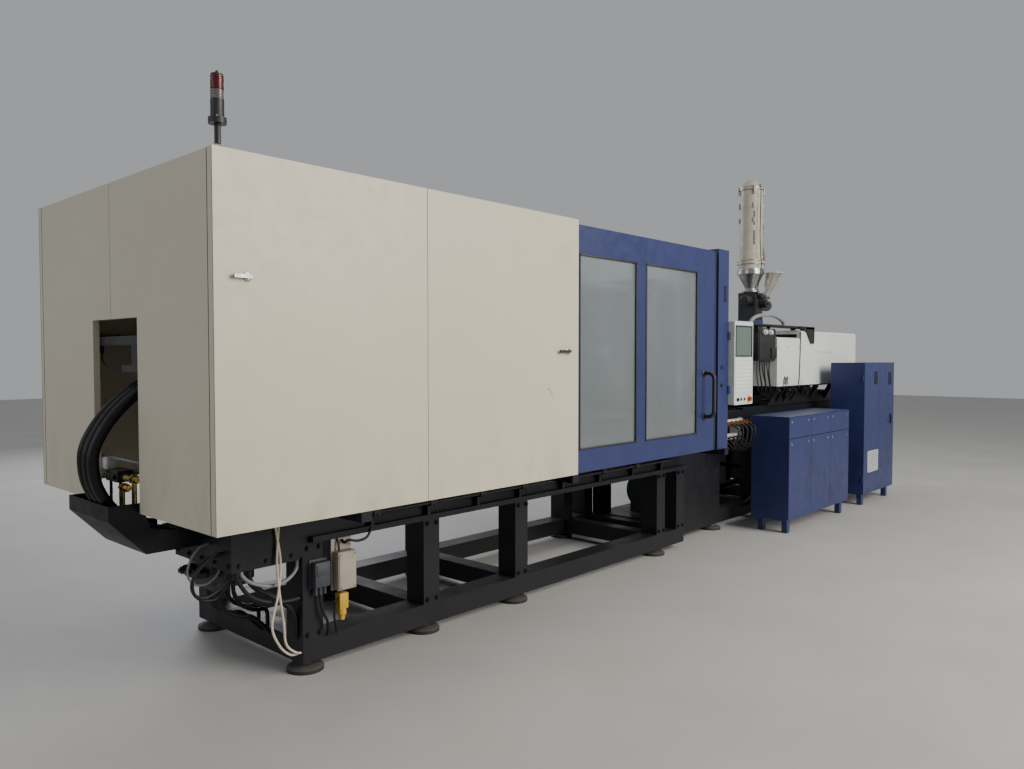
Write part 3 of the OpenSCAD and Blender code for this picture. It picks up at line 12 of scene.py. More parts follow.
import bmesh
import bpy
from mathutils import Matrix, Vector

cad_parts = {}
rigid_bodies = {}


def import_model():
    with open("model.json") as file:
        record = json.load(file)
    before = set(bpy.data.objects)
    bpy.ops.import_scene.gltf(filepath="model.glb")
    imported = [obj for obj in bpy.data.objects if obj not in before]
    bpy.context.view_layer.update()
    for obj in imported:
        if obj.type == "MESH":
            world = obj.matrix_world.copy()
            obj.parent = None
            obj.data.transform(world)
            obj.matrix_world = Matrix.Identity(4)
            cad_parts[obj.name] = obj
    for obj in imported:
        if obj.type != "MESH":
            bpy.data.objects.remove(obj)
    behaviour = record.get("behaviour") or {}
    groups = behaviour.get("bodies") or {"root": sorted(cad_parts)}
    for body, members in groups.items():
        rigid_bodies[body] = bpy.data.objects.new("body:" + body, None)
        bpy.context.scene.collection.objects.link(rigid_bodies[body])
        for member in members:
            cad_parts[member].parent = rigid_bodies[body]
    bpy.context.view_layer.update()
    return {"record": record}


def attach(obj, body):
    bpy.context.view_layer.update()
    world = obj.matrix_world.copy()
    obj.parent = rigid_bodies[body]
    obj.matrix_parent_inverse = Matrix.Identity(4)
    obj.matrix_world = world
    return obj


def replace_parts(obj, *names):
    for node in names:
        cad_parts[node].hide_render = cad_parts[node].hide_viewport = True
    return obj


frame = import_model()

# %% [markdown]
# ## The camera
# The photograph looks along the machine from off the clamp end, on the operator's side, through a
# wide lens. A camera can be found by trial, but straight edges are quicker: the long edges of the
# covers and gates meet in one vanishing point, the edges of the clamp end in another, and the two
# points give the lens and the turn. That gives a 28 mm lens at eye level, and Blender takes it as it
# is.

# %% Camera
MIDDLE = 4122.5      # the middle of the machine's length, in mm from the clamp end


def at(x, y, z):
    """A point of the machine drawing, in mm, as a point of the scene, in metres."""
    return Vector(((x - MIDDLE) / 1000, y / 1000, z / 1000))


eye = bpy.data.objects.new("camera", bpy.data.cameras.new("camera"))
bpy.context.scene.collection.objects.link(eye)
eye.location = at(-1544.5, -4010.6, 1600)
eye.rotation_euler = (radians(88.02), 0, radians(-47.47))
eye.data.lens = 28.25
eye.data.sensor_width = 36
eye.data.clip_end = 80
bpy.context.scene.camera = eye
print("camera at", [round(c, 3) for c in eye.location])

# %% [markdown]
# ## Places that come back
# The added pieces sit on the faces of the machine. The distances of these faces from the centre plane
# come back in many cells, so they get names once, and so does the place of the feed throat.

# %% Names for the main faces
COVER_FACE = 1000    # the clamp covers, in mm from the centre plane
GATE_FACE = 950      # the gates and their posts
HOOD_FACE = 500      # the injection covers
BASE_FACE = 550      # the sides of the clamp base
CABINET_FACE = 1000  # the doors of the cabinets
CABINET_BACK = 640   # the backs of the cabinets
FEED_X = 6660        # the feed throat, in mm from the clamp end
print("main faces named")

# %% [markdown]
# ## Colours and nodes
# A paint chart gives a colour as an sRGB hex value, but a shader works in linear light, so one
# function turns the one into the other. A finish is a small network of nodes. Nodes could be placed
# by hand, one call for each property, but one function that takes settings and links keeps every
# finish down to a few readable lines.

# %% Colour and node helpers
def linear(code):
    """Turns an sRGB hex colour into the linear numbers that shaders work in."""
    parts = [int(code[i:i + 2], 16) / 255 for i in (1, 3, 5)]
    return [c / 12.92 if c <= 0.04045 else ((c + 0.055) / 1.055) ** 2.4 for c in parts] + [1.0]


def add_node(finish, kind, settings=None, links=None):
    """Adds a node: settings are its properties or its inputs' values, links are what feeds it."""
    node = finish.node_tree.nodes.new("ShaderNode" + kind)
    for key, value in (settings or {}).items():
        if isinstance(key, str) and hasattr(node, key):
            setattr(node, key, value)
        else:
            node.inputs[key].default_value = value
    for key, source in (links or {}).items():
        finish.node_tree.links.new(source, node.inputs[key])
    return node


# The cream #c7c0ab is a little darker than the paint itself: painted shade for the dim light on the clamp
# covers.
print("cream paint in linear light:", [round(c, 3) for c in linear("#c7c0ab")])

# %% [markdown]
# ## What makes a finish look used
# Four things show on every surface of a machine that has run for years: soft stains, grime that
# thickens towards the floor, dust that settles on faces that look up, and the relief of the surface
# itself. Each could be painted by hand on an unwrapped mesh. Here each is worked out from the place
# on the machine instead, in real millimetres, so one finish serves a hundred pieces without a seam.


def new_finish(name, settings):
    """Starts a finish with its constant values, and gives its shader and its place on the machine."""
    finish = bpy.data.materials.new(name)
    finish.use_nodes = True
    shader = finish.node_tree.nodes["Principled BSDF"]
    for key, value in settings.items():
        shader.inputs[key].default_value = value
    place = add_node(finish, "TexCoord").outputs["Object"]
    return finish, shader, place


def stains(finish, place, size_mm, share, softness=0.12, stretch=(1, 1, 1)):
    """A mask of soft patches of about size_mm that cover about this share of the surface."""
    pulled = add_node(finish, "Mapping", {"Scale": stretch}, {"Vector": place}).outputs[0]
    cloud = add_node(finish, "TexNoise", {"Scale": 1000 / size_mm, "Detail": 5, "Roughness": 0.62},
                     {"Vector": pulled}).outputs[0]
    edge = 0.68 - 0.36 * share
    return add_node(finish, "MapRange", {1: edge - softness, 2: edge + softness,
                                         "interpolation_type": "SMOOTHSTEP"}, {0: cloud}).outputs[0]


def low_down(finish, place, clean_mm, dirty_mm):
    """A mask that grows from none at clean_mm above the floor to full at dirty_mm."""
    height = add_node(finish, "SeparateXYZ", {}, {0: place}).outputs[2]
    return add_node(finish, "MapRange", {1: clean_mm / 1000, 2: dirty_mm / 1000}, {0: height}).outputs[0]


def looking_up(finish, low=0.6):
    """A mask of the faces that look up, where dust settles."""
    normal = add_node(finish, "NewGeometry").outputs["Normal"]
    height = add_node(finish, "SeparateXYZ", {}, {0: normal}).outputs[2]
    return add_node(finish, "MapRange", {1: low, 2: 1.0}, {0: height}).outputs[0]


def share_of(finish, mask, amount):
    """A mask, weakened by a number or by another mask."""
    second = {1: amount} if isinstance(amount, float) else {}
    linked = {} if isinstance(amount, float) else {1: amount}
    return add_node(finish, "Math", {"operation": "MULTIPLY", **second}, {0: mask, **linked}).outputs[0]


def coloured_over(finish, under, code, mask):
    """Lays a colour over another where the mask says."""
    settings = {"data_type": "RGBA", 7: linear(code)}
    links = {0: mask}
    if isinstance(under, str):
        settings[6] = linear(under)
    else:
        links[6] = under
    return add_node(finish, "Mix", settings, links).outputs[2]


def rough_between(finish, shader, mask, smooth_value, rough_value):
    """Lets the roughness follow a mask."""
    level = add_node(finish, "MapRange", {3: smooth_value, 4: rough_value}, {0: mask}).outputs[0]
    finish.node_tree.links.new(level, shader.inputs["Roughness"])


def relief(finish, shader, place, size_mm, depth_mm, stretch=(1, 1, 1)):
    """Gives the surface a relief of this grain and depth."""
    pulled = add_node(finish, "Mapping", {"Scale": stretch}, {"Vector": place}).outputs[0]
    grain = add_node(finish, "TexNoise", {"Scale": 1000 / size_mm, "Detail": 3},
                     {"Vector": pulled}).outputs[0]
    bump = add_node(finish, "Bump", {"Strength": 1.0, "Distance": depth_mm / 1000}, {"Height": grain})
    finish.node_tree.links.new(bump.outputs[0], shader.inputs["Normal"])


def colour_from(finish, shader, colour):
    """Feeds the shader's colour."""
    finish.node_tree.links.new(colour, shader.inputs["Base Color"])


print("finish helpers ready")

# %% [markdown]
# ## Powder coat
# The covers, gates, posts and cabinets are bent steel sheet with a baked powder coat. The powder
# melts into a skin with a fine waviness, called orange peel, about 3 mm from crest to crest. Years of
# hands and oil mist leave faint clouds on it, dull patches, dark dots where it is chipped, and brown
# grime along the lower edges. The clouds and chips are noise, the grime is a height mask. The
# operator's side also has a curved scrape and a faint smear, which are spots at known places.

# %% Powder coats
def powder_coat(name, paint, cloud, chip, grime, clean_mm, dirty_mm, smooth_value, rough_value,
                chip_share=0.12, grime_share=0.55, dust="#a39f96", dust_share=0.45, marks=()):
    finish, shader, place = new_finish(name, {"IOR": 1.5, "Specular IOR Level": 0.45})
    clouds = stains(finish, place, 620, 0.5, 0.3)
    colour = coloured_over(finish, paint, cloud, share_of(finish, clouds, 0.45))
    smears = stains(finish, place, 160, 0.3, 0.14, (1, 1, 0.45))
    low = low_down(finish, place, clean_mm, dirty_mm)
    dirt = share_of(finish, share_of(finish, low, smears), grime_share)
    colour = coloured_over(finish, colour, grime, dirt)
    chips = share_of(finish, stains(finish, place, 11, 0.0, 0.01), stains(finish, place, 420, chip_share,
                     0.05))
    colour = coloured_over(finish, colour, chip, chips)
    colour = coloured_over(finish, colour, dust, share_of(finish, looking_up(finish), dust_share))
    for spot, radius_mm, amount in marks:
        away = add_node(finish, "VectorMath", {"operation": "DISTANCE", 1: tuple(at(*spot))},
                        {0: place}).outputs["Value"]
        near = add_node(finish, "MapRange", {1: radius_mm / 1000, 2: radius_mm / 2500},
                        {0: away}).outputs[0]
        colour = coloured_over(finish, colour, grime, share_of(finish, near, amount))
    colour_from(finish, shader, colour)
    rough_between(finish, shader, stains(finish, place, 90, 0.4, 0.25), smooth_value, rough_value)
    relief(finish, shader, place, 3.2, 0.035)
    return finish


# The cream and its cloud colour are darker than the paint itself: painted shade for the dim light on the
# clamp covers. The grime, chips, scrape and smear are real marks.
cream_coat_with_painted_shade = powder_coat("cream_powder_coat_with_painted_shade", "#c7c0ab", "#bdb59e", "#4a4740", "#8d8672",
                         1350, 880, 0.36, 0.5, 0.14, 0.3, marks=[((2050, -1000, 1412), 9, 0.9),
                         ((2062, -1000, 1404), 9, 0.9), ((2074, -1000, 1392), 9, 0.9),
                         ((2084, -1000, 1378), 8, 0.9), ((2090, -1000, 1362), 7, 0.9),
                         ((2215, -1000, 2205), 90, 0.16)])
blue_coat = powder_coat("blue_powder_coat", "#28315f", "#232b55", "#12151f", "#1b2038",
                        1400, 100, 0.3, 0.46, 0.15, 0.6, "#5c6480", 0.4)
pale_coat = powder_coat("pale_powder_coat", "#d3d8d4", "#c6cbc6", "#55564f", "#85857a",
                        1700, 1200, 0.38, 0.52, 0.12, 0.4)
print(cream_coat_with_painted_shade.name, blue_coat.name, pale_coat.name)

# %% [markdown]
# ## Enamels on the base and the castings
# The welded base and the cast platens are brushed or sprayed with dark enamel. On castings the sand
# of the mould shows through it as a coarse relief, about 7 mm across. Oil and dust make a greasy film
# that is brown and dull where it lies, so the stains here are large, soft and almost everywhere.

# %% Enamels
def machine_enamel(name, paint, oily, dusty, grain_mm, depth_mm, smooth_value, rough_value,
                   dust_share=0.6, shine=0.5):
    finish, shader, place = new_finish(name, {"IOR": 1.5, "Specular IOR Level": shine})
    film = stains(finish, place, 240, 0.55, 0.25)
    colour = coloured_over(finish, paint, oily, share_of(finish, film, 0.7))
    splashes = stains(finish, place, 46, 0.12, 0.06)
    colour = coloured_over(finish, colour, dusty, share_of(finish, splashes, 0.35))
    low = share_of(finish, low_down(finish, place, 900, 60), 0.4)
    colour = coloured_over(finish, colour, dusty, low)
    colour = coloured_over(finish, colour, dusty, share_of(finish, looking_up(finish, 0.5), dust_share))
    colour_from(finish, shader, colour)
    rough_between(finish, shader, film, smooth_value, rough_value)
    relief(finish, shader, place, grain_mm, depth_mm)
    return finish


# The navy of the base is darker than the paint itself: painted shade for the base and its bolts in the
# shadow of the covers.
base_enamel_with_painted_shade = machine_enamel("navy_base_enamel", "#10141f", "#0b0d13", "#2b2926", 18, 0.12,
                             0.35, 0.6, 0.45, 0.3)
casting_enamel = machine_enamel("navy_casting_enamel", "#27355f", "#161c30", "#3f3c38",
                                7, 0.35, 0.4, 0.65)
black_enamel = machine_enamel("black_satin_enamel", "#15161a", "#0e0e10", "#38352f", 9,
                              0.05, 0.3, 0.55)
motor_enamel = machine_enamel("grey_motor_enamel", "#3d4654", "#22262e", "#4a463f", 6,
                              0.25, 0.4, 0.6)
pipe_enamel = machine_enamel("white_pipe_enamel", "#d6d8d8", "#a9a89f", "#8c8577", 12, 0.05,
                             0.3, 0.5, 0.3)
vessel_coat = machine_enamel("vessel_lacquer", "#b3ac9d", "#948b79", "#7d7464", 30,
                             0.05, 0.35, 0.55, 0.3)
print("enamels:", base_enamel_with_painted_shade.name, casting_enamel.name, black_enamel.name)

# %% [markdown]
# ## Bare metals
# A metal keeps Blender's default IOR and shows by its colour, its roughness and the marks of its
# tool. Ground parts have fine lines along the grinding, hard chrome is almost a mirror, zinc plate is
# dull with a cloudy spangle, brass fittings are yellow and stained, and the steel bands round the hot
# barrel are tinted straw and blue by heat. The lines are noise that is pulled long, 1.5 mm apart,
# which is coarser than real grinding, because anything finer would not show in the picture.

# %% Bare metals
def bare_metal(name, metal, stained, size_mm, share, smooth_value, rough_value, grain_mm, depth_mm,
               stretch):
    finish, shader, place = new_finish(name, {"Metallic": 1.0})
    film = stains(finish, place, size_mm, share, 0.2)
    colour = coloured_over(finish, metal, stained, share_of(finish, film, 0.8))
    colour = coloured_over(finish, colour, "#5b574f", share_of(finish, looking_up(finish, 0.7), 0.25))
    colour_from(finish, shader, colour)
    rough_between(finish, shader, film, smooth_value, rough_value)
    relief(finish, shader, place, grain_mm, depth_mm, stretch)
    return finish


ground_steel = bare_metal("ground_tool_steel", "#a6a9ad", "#6e6a63", 120, 0.4, 0.22, 0.45,
                          1.5, 0.02, (0.05, 1, 1))
hard_chrome = bare_metal("hard_chrome", "#c9ccd0", "#9a9a98", 200, 0.25, 0.08, 0.25, 2.5,
                         0.01, (0.1, 1, 1))
band_steel = bare_metal("heat_tinted_steel", "#9c9182", "#5d5f78", 70, 0.5, 0.25, 0.45, 2,
                        0.02, (1, 1, 0.1))
zinc_plate = bare_metal("zinc_plate", "#9ea1a3", "#77766f", 16, 0.45, 0.3, 0.5, 6, 0.02,
                        (1, 1, 1))
brass = bare_metal("brass", "#b99a55", "#6f5a33", 20, 0.4, 0.22, 0.45, 5, 0.02, (1, 1, 1))
print("metals:", ground_steel.name, hard_chrome.name, band_steel.name, zinc_plate.name, brass.name)

# %% [markdown]
# ## Plastics and rubber
# Handles and connectors are glass-filled nylon, housings are ABS, cables have a PVC sheath and the
# thick hoses have a rubber cover over wire braid. All of them are dull dielectrics with a moulded
# grain of about a millimetre. What tells them apart is the colour, the gloss, and how the dust sits:
# rubber holds a grey bloom, ABS stays clean.

# %% Plastics and rubber
def moulded(name, colour_code, worn_code, smooth_value, rough_value, grain_mm, depth_mm,
            dust_share=0.3, ior=1.5, shine=0.5):
    finish, shader, place = new_finish(name, {"IOR": ior, "Specular IOR Level": shine})
    handled = stains(finish, place, 60, 0.4, 0.25)
    colour = coloured_over(finish, colour_code, worn_code, share_of(finish, handled, 0.6))
    colour = coloured_over(finish, colour, "#8a867d", share_of(finish, looking_up(finish, 0.4),
                           dust_share))
    colour_from(finish, shader, colour)
    rough_between(finish, shader, handled, smooth_value, rough_value)
    relief(finish, shader, place, grain_mm, depth_mm)
    return finish


black_nylon = moulded("black_nylon", "#17181a", "#26272a", 0.42, 0.6, 1.2, 0.04)
grey_abs = moulded("grey_abs", "#c8ccc8", "#b3b6b0", 0.4, 0.55, 1.2, 0.03, 0.2)
light_abs = moulded("light_key_film", "#dfe3df", "#cdd1cb", 0.35, 0.5, 1.5, 0.01, 0.1)
red_abs = moulded("red_abs", "#b3221c", "#8d1a16", 0.28, 0.42, 1.2, 0.02, 0.2)
yellow_abs = moulded("yellow_abs", "#c9a32a", "#94782a", 0.35, 0.5, 1.2, 0.02)
hose_rubber = moulded("braided_hose_rubber", "#08090b", "#101114", 0.32, 0.48, 2.5, 0.05,
                      0.1, 1.52, 0.28)
mount_rubber = moulded("mount_rubber", "#1d1e20", "#2c2b29", 0.6, 0.8, 3, 0.06, 0.25, 1.52)
black_sheath = moulded("black_cable_sheath", "#0e0e10", "#17181a", 0.4, 0.55, 2, 0.02, 0.2,
                       1.5, 0.35)
grey_sheath = moulded("grey_cable_sheath", "#85878a", "#6d6e6e", 0.45, 0.6, 2, 0.02, 0.3)
cream_sheath = moulded("cream_tube", "#c9c3ae", "#a79f88", 0.35, 0.5, 2, 0.02, 0.3)
seal_rubber = moulded("window_seal", "#141518", "#202226", 0.5, 0.65, 1.5, 0.02, 0.3, 1.52)
print("plastics:", black_nylon.name, grey_abs.name, hose_rubber.name)

# %% [markdown]
# ## Clear and lit parts
# The gate windows are polycarbonate sheet. Years of oil mist and wiping have made it milky, so it lets
# only part of the light through and spreads the rest. The side funnel is clear acrylic with dust
# inside, the lamp has acrylic lenses, and the display is dark glass with a grey-green screen. A sheet
# is never quite flat, so a slow wave, 420 mm from crest to crest, bends what is seen in it.

# %% Clear parts
def clear_sheet(name, tint, haze_code, clearness, smooth_value, rough_value, ior, haze_share=0.6):
    finish, shader, place = new_finish(name, {"IOR": ior, "Transmission Weight": clearness})
    haze = stains(finish, place, 260, 0.5, 0.3, (1, 1, 0.4))
    colour = coloured_over(finish, tint, haze_code, share_of(finish, haze, haze_share))
    colour_from(finish, shader, colour)
    rough_between(finish, shader, haze, smooth_value, rough_value)
    relief(finish, shader, place, 420, 0.02)
    return finish


gate_pane = clear_sheet("milky_polycarbonate", "#b4bdc0", "#98a3a8", 0.72, 0.06, 0.2, 1.58)
funnel_pane = clear_sheet("dusty_acrylic", "#e2e0d6", "#c4c0b2", 0.84, 0.1, 0.3, 1.49)
red_lens = clear_sheet("red_acrylic", "#6d1218", "#4b0c12", 0.35, 0.12, 0.25, 1.49)
clear_lens = clear_sheet("clear_acrylic", "#8d7f83", "#6d6468", 0.5, 0.12, 0.25, 1.49)
display_glass = clear_sheet("display_glass", "#5d6b66", "#4d5955", 0.0, 0.12, 0.2, 1.52)
print("clear parts:", gate_pane.name, funnel_pane.name, red_lens.name)

# %% [markdown]
# ## The finish of each CAD solid
# The record of the machine says which material slot each solid has. One list from slot to finish is
# enough to dress all of them, and it keeps the picture and the record in step.

# %% Dress the CAD solids
finish_for = {
    "cream_paint": cream_coat_with_painted_shade, "blue_paint": blue_coat, "navy_paint": base_enamel_with_painted_shade,
    "casting_paint": casting_enamel, "black_paint": black_enamel, "pale_paint": pale_coat,
    "ground_steel": ground_steel, "chromed_steel": hard_chrome, "band_steel": band_steel,
    "hose_rubber": hose_rubber, "window_pane": gate_pane, "red_lens": red_lens,
    "black_plastic": black_nylon, "panel_plastic": grey_abs, "screen_glass": display_glass,
    "red_plastic": red_abs, "zinc_fitting": zinc_plate, "pipe_paint": pipe_enamel,
    "motor_paint": motor_enamel, "loader_plastic": vessel_coat, "funnel_plastic": funnel_pane,
    "foot_rubber": mount_rubber,
}
for part in frame["record"]["subparts"]:
    solid = bpy.data.objects[part["node"]]
    solid.data.materials.clear()
    solid.data.materials.append(finish_for[part["material_slot"]])

# %% [markdown]
# ## Tools for the added pieces
# Nearly everything on a machine is cut from plate, turned on a lathe or bent from tube. So four
# mesh tools are enough: a block with broken edges, a turned part from its profile, a tube along a
# path, and a plate from its outline. Each adds to a mesh in the making, and one call turns that mesh
# into a piece with its finish, on the body that it rides.

# %% Mesh tools
ALONG = {"x": Vector((1, 0, 0)), "y": Vector((0, 1, 0)), "z": Vector((0, 0, 1))}


def stitched(mesh, rings):
    """Joins rings of points into a closed skin."""
    sides = len(rings[0])
    for one, two in zip(rings, rings[1:]):
        for k in range(sides):
            mesh.faces.new((one[k - 1], one[k], two[k], two[k - 1]))
    mesh.faces.new(rings[0])
    mesh.faces.new(rings[-1])


def block(mesh, low, high, edge=1.0):
    """A block between two opposite corners, with its edges broken."""
    low, high = Vector(map(min, low, high)), Vector(map(max, low, high))
    corners = bmesh.ops.create_cube(mesh, size=1)["verts"]
    for corner in corners:
        corner.co = Vector(l + (c + 0.5) * (h - l) for l, c, h in zip(low, corner.co, high))
    if edge:
        edges = list({e for corner in corners for e in corner.link_edges})
        bmesh.ops.bevel(mesh, geom=edges, offset=min(edge, 0.3 * min(high - low)), segments=2,
                        profile=0.5, affect="EDGES")


def around(middle, side, up, radius, sides):
    """The points of a circle about a middle, in the plane of side and up."""
    turns = [2 * pi * k / sides for k in range(sides)]
    return [middle + (side * cos(turn) + up * sin(turn)) * radius for turn in turns]


def turned(mesh, place, axis, profile, sides=28):
    """A turned part from (distance along the axis, radius) pairs, closed at both ends."""
    ahead = ALONG[axis] if isinstance(axis, str) else Vector(axis).normalized()
    side = ahead.orthogonal().normalized()
    up = ahead.cross(side)
    rings = []
    for distance, radius in profile:
        middle = Vector(place) + ahead * distance
        rings.append([mesh.verts.new(p) for p in around(middle, side, up, radius, sides)])
    stitched(mesh, rings)


def smooth(points, steps=6):
    """A smooth curve through the given points."""
    p = [Vector(q) for q in points]
    p = [2 * p[0] - p[1]] + p + [2 * p[-1] - p[-2]]
    curve = []
    for a, b, c, d in zip(p, p[1:], p[2:], p[3:]):
        for k in range(steps):
            t = k / steps
            curve.append(0.5 * (2 * b + (c - a) * t + (2 * a - 5 * b + 4 * c - d) * t ** 2
                                + (3 * b - a - 3 * c + d) * t ** 3))
    return curve + [p[-2]]


def tube(mesh, path, diameter, sides=12):
    """A round bar or tube along a path, without twist."""
    side, rings = None, []
    for i, point in enumerate(path):
        ahead = (Vector(path[min(i + 1, len(path) - 1)]) - Vector(path[max(i - 1, 0)])).normalized()
        side = ahead.orthogonal() if side is None else side - ahead * side.dot(ahead)
        side.normalize()
        up = ahead.cross(side)
        rings.append([mesh.verts.new(p) for p in around(Vector(point), side, up, diameter / 2, sides)])
    stitched(mesh, rings)


def plate(mesh, outline, depth):
    """A plate from its outline, with this depth vector."""
    front = [mesh.verts.new(Vector(p)) for p in outline]
    back = [mesh.verts.new(Vector(p) + Vector(depth)) for p in outline]
    stitched(mesh, [front, back])


def make(name, body, finish, mesh, sharp=38):
    """Turns a mesh in drawing millimetres into a finished piece on a body."""
    bmesh.ops.recalc_face_normals(mesh, faces=mesh.faces[:])
    for vert in mesh.verts:
        vert.co = at(*vert.co)
    data = bpy.data.meshes.new(name)
    mesh.to_mesh(data)
    mesh.free()
    data.shade_smooth()
    data.set_sharp_from_angle(angle=radians(sharp))
    data.materials.append(finish)
    piece = bpy.data.objects.new(name, data)
    bpy.context.scene.collection.objects.link(piece)
    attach(piece, body)
    print(f"{name}: {len(data.polygons)} faces")
    return piece


def lead(name, body, finish, points, diameter, sides=12):
    """A hose or wire through the given points; a short stiff one is left at that."""
    path = smooth(points)
    mesh = bmesh.new()
    tube(mesh, path, diameter, sides)
    return make(name, body, finish, mesh, 60), path


def cord(name, body, finish, points, diameter,
         sides=12):
    """A free hose or cable through the given points."""
    piece, path = lead(name, body, finish, points, diameter, sides)
    return piece


print("mesh tools ready")

# %% [markdown]
# ## Screws and nuts
# Machines are held by socket screws in rows and by hexagon nuts. Each could be a CAD solid, but
# hundreds of them would drown the model, and nothing is lost by drawing them here. A socket screw is
# a turned head with a hexagonal hole, a nut is a turned part with six sides.

# %% Fastener tools
def socket_screw(mesh, place, axis, diameter):
    """The head of a socket screw that stands on a face, pointing along the axis."""
    r = diameter * 0.75
    turned(mesh, place, axis, [(-0.5, r), (diameter * 0.9, r), (diameter, r * 0.93), (diameter, r * 0.55),
                               (diameter * 0.45, r * 0.5)], 18)


def hexagon(mesh, place, axis, across, height):
    """A hexagon nut or bolt head with chamfered corners."""
    r = across / 1.732
    turned(mesh, place, axis, [(-0.5, r), (height * 0.85, r), (height, r * 0.9)], 6)
    turned(mesh, place, axis, [(height - 1, r * 0.55), (height + across * 0.2, r * 0.52)], 12)


def grid(us, vs):
    """The places of screws in rows and columns."""
    return [(u, v) for u in us for v in vs]


def ring(radius, count, first):
    """The places of screws in a circle, from its centre, starting at an angle in degrees."""
    angles = [radians(first + 360 // count * k) for k in range(count)]
    return [(radius * cos(angle), radius * sin(angle)) for angle in angles]


print("fastener tools ready")

# %% [markdown]
# ## The floor and the light
# In the photograph soft daylight falls on the operator's side, so the long side is bright and the
# clamp end is in shade. A large soft area lamp on that side does the same. A second, weak one lifts
# the shaded end, a third one lights the rear side, and the pale surroundings fill in the rest.

# %% Floor and lights
floor_mesh = bmesh.new()
bmesh.ops.create_grid(floor_mesh, x_segments=1, y_segments=1, size=30)
floor_data = bpy.data.meshes.new("floor")
floor_mesh.to_mesh(floor_data)
floor_mesh.free()
floor = bpy.data.objects.new("floor", floor_data)
bpy.context.scene.collection.objects.link(floor)
floor_finish, floor_shader, floor_place = new_finish("pale_floor", {"Roughness": 0.7})
floor_cloud = stains(floor_finish, floor_place, 900, 0.5, 0.3)
colour_from(floor_finish, floor_shader, coloured_over(floor_finish, "#b9b8b4", "#afaeaa", floor_cloud))
floor.data.materials.append(floor_finish)


def soft_lamp(name, place, target, size, power, colour):
    """A round area lamp that looks at a target: size in metres, power in watts."""
    lamp = bpy.data.objects.new(name, bpy.data.lights.new(name, "AREA"))
    bpy.context.scene.collection.objects.link(lamp)
    lamp.location = at(*place)
    lamp.rotation_euler = (at(*target) - at(*place)).to_track_quat("-Z", "Y").to_euler()
    lamp.data.shape = "DISK"
    lamp.data.size = size
    lamp.data.energy = power
    lamp.data.color = linear(colour)[:3]


soft_lamp("side_light", (5200, -9500, 5200), (3600, 0, 1300), 7, 1300, "#fffaf2")
soft_lamp("end_light", (-7000, 1500, 4500), (0, 0, 1500), 6, 110, "#eef2ff")
soft_lamp("rear_light", (5200, 8500, 6000), (4000, 0, 1500), 6, 500, "#f4f6ff")
world = bpy.data.worlds.new("pale_room")
bpy.context.scene.world = world
world.use_nodes = True
world.node_tree.nodes["Background"].inputs["Color"].default_value = linear("#dfe1e4")
world.node_tree.nodes["Background"].inputs["Strength"].default_value = 0.5
print("floor and three lamps placed")

# %% [markdown]
# ## The thick hoses at the clamp end
# Three oil hoses come out of the end cover, bow outwards and dive into the tray. They are rubber over
# wire braid, 50 mm thick, and too stiff to bend tighter than four times that. The CAD model has them
# with ten sides. Here each is a smooth tube through the same points, with a pressed steel sleeve and
# a hexagon at each end, as a hose shop makes them.

# %% Clamp hoses
hose_route = [(584, 1560), (420, 1560), (320, 1545), (200, 1510), (80, 1448), (-20, 1365), (-95, 1275),
              (-145, 1175), (-150, 1080), (-128, 990), (-72, 900), (10, 825), (110, 770), (200, 740),
              (299, 740)]
sleeves = bmesh.new()
for number, y in enumerate((-150, -88, -26)):
    hose = cord(f"clamp_hose_{number + 1}", "frame", hose_rubber, [(x, y, z) for x, z in hose_route], 50,
                sides=24)
    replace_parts(hose, "clamp_hoses")
    for start, z, way in ((584, 1560, -1), (299, 740, -1)):
        turned(sleeves, (start, y, z), (way, 0, 0), [(0, 26), (3, 29), (26, 29), (27, 27.5)], 6)
        turned(sleeves, (start, y, z), (way, 0, 0), [(26, 28), (34, 28), (36, 27), (44, 27), (46, 28),
               (54, 28), (56, 27), (64, 27), (66, 28), (78, 28), (82, 26)], 24)
make("hose_sleeves", "frame", zinc_plate, sleeves)

# %% [markdown]
# ## Inside the hose opening
# Through the gap in the end cover one sees the gear that the hoses pass: a rest bar, a small light
# box and a black valve box that stand on the tray, two brass screw fittings, a rail along the far
# cover, and a thin cable that droops from the black bracket. They are small, so blocks and turned
# parts with broken edges are right. Only the cable needs a curve, because it hangs.

# %% Gear inside the opening
rest = bmesh.new()
block(rest, (34, -279, 1098), (44, 262, 1110), 1.5)
for y in (-272, 252):
    hexagon(rest, (34, y, 1104), (-1, 0, 0), 10, 4)
make("hose_rest_bar", "frame", zinc_plate, rest)
far_rail = bmesh.new()
block(far_rail, (40, 968, 1712), (1080, 990, 1724), 1)
for x in range(80, 1080, 160):
    block(far_rail, (x, 988, 1706), (x + 24, 996, 1730), 1)
make("far_cover_rail", "frame", black_enamel, far_rail)
light_box = bmesh.new()
block(light_box, (36, 190, 1036), (92, 258, 1097), 4)
block(light_box, (33, 196, 1042), (36.5, 252, 1091), 1)
for y, z in grid((202, 246), (1047, 1086)):
    socket_screw(light_box, (33, y, z), (-1, 0, 0), 3)
make("terminal_box", "frame", grey_abs, light_box)
valve_box = bmesh.new()
block(valve_box, (44, 84, 978), (124, 232, 1036), 4)
for y in (96, 214):
    block(valve_box, (60, y, 856), (72, y + 12, 980), 1)
for y in (112, 150, 188):
    turned(valve_box, (44, y, 1008), (-1, 0, 0), [(-1, 15), (8, 15), (10, 13), (16, 13), (17, 11)], 20)
make("small_valve_box", "frame", black_nylon, valve_box)
fittings = bmesh.new()
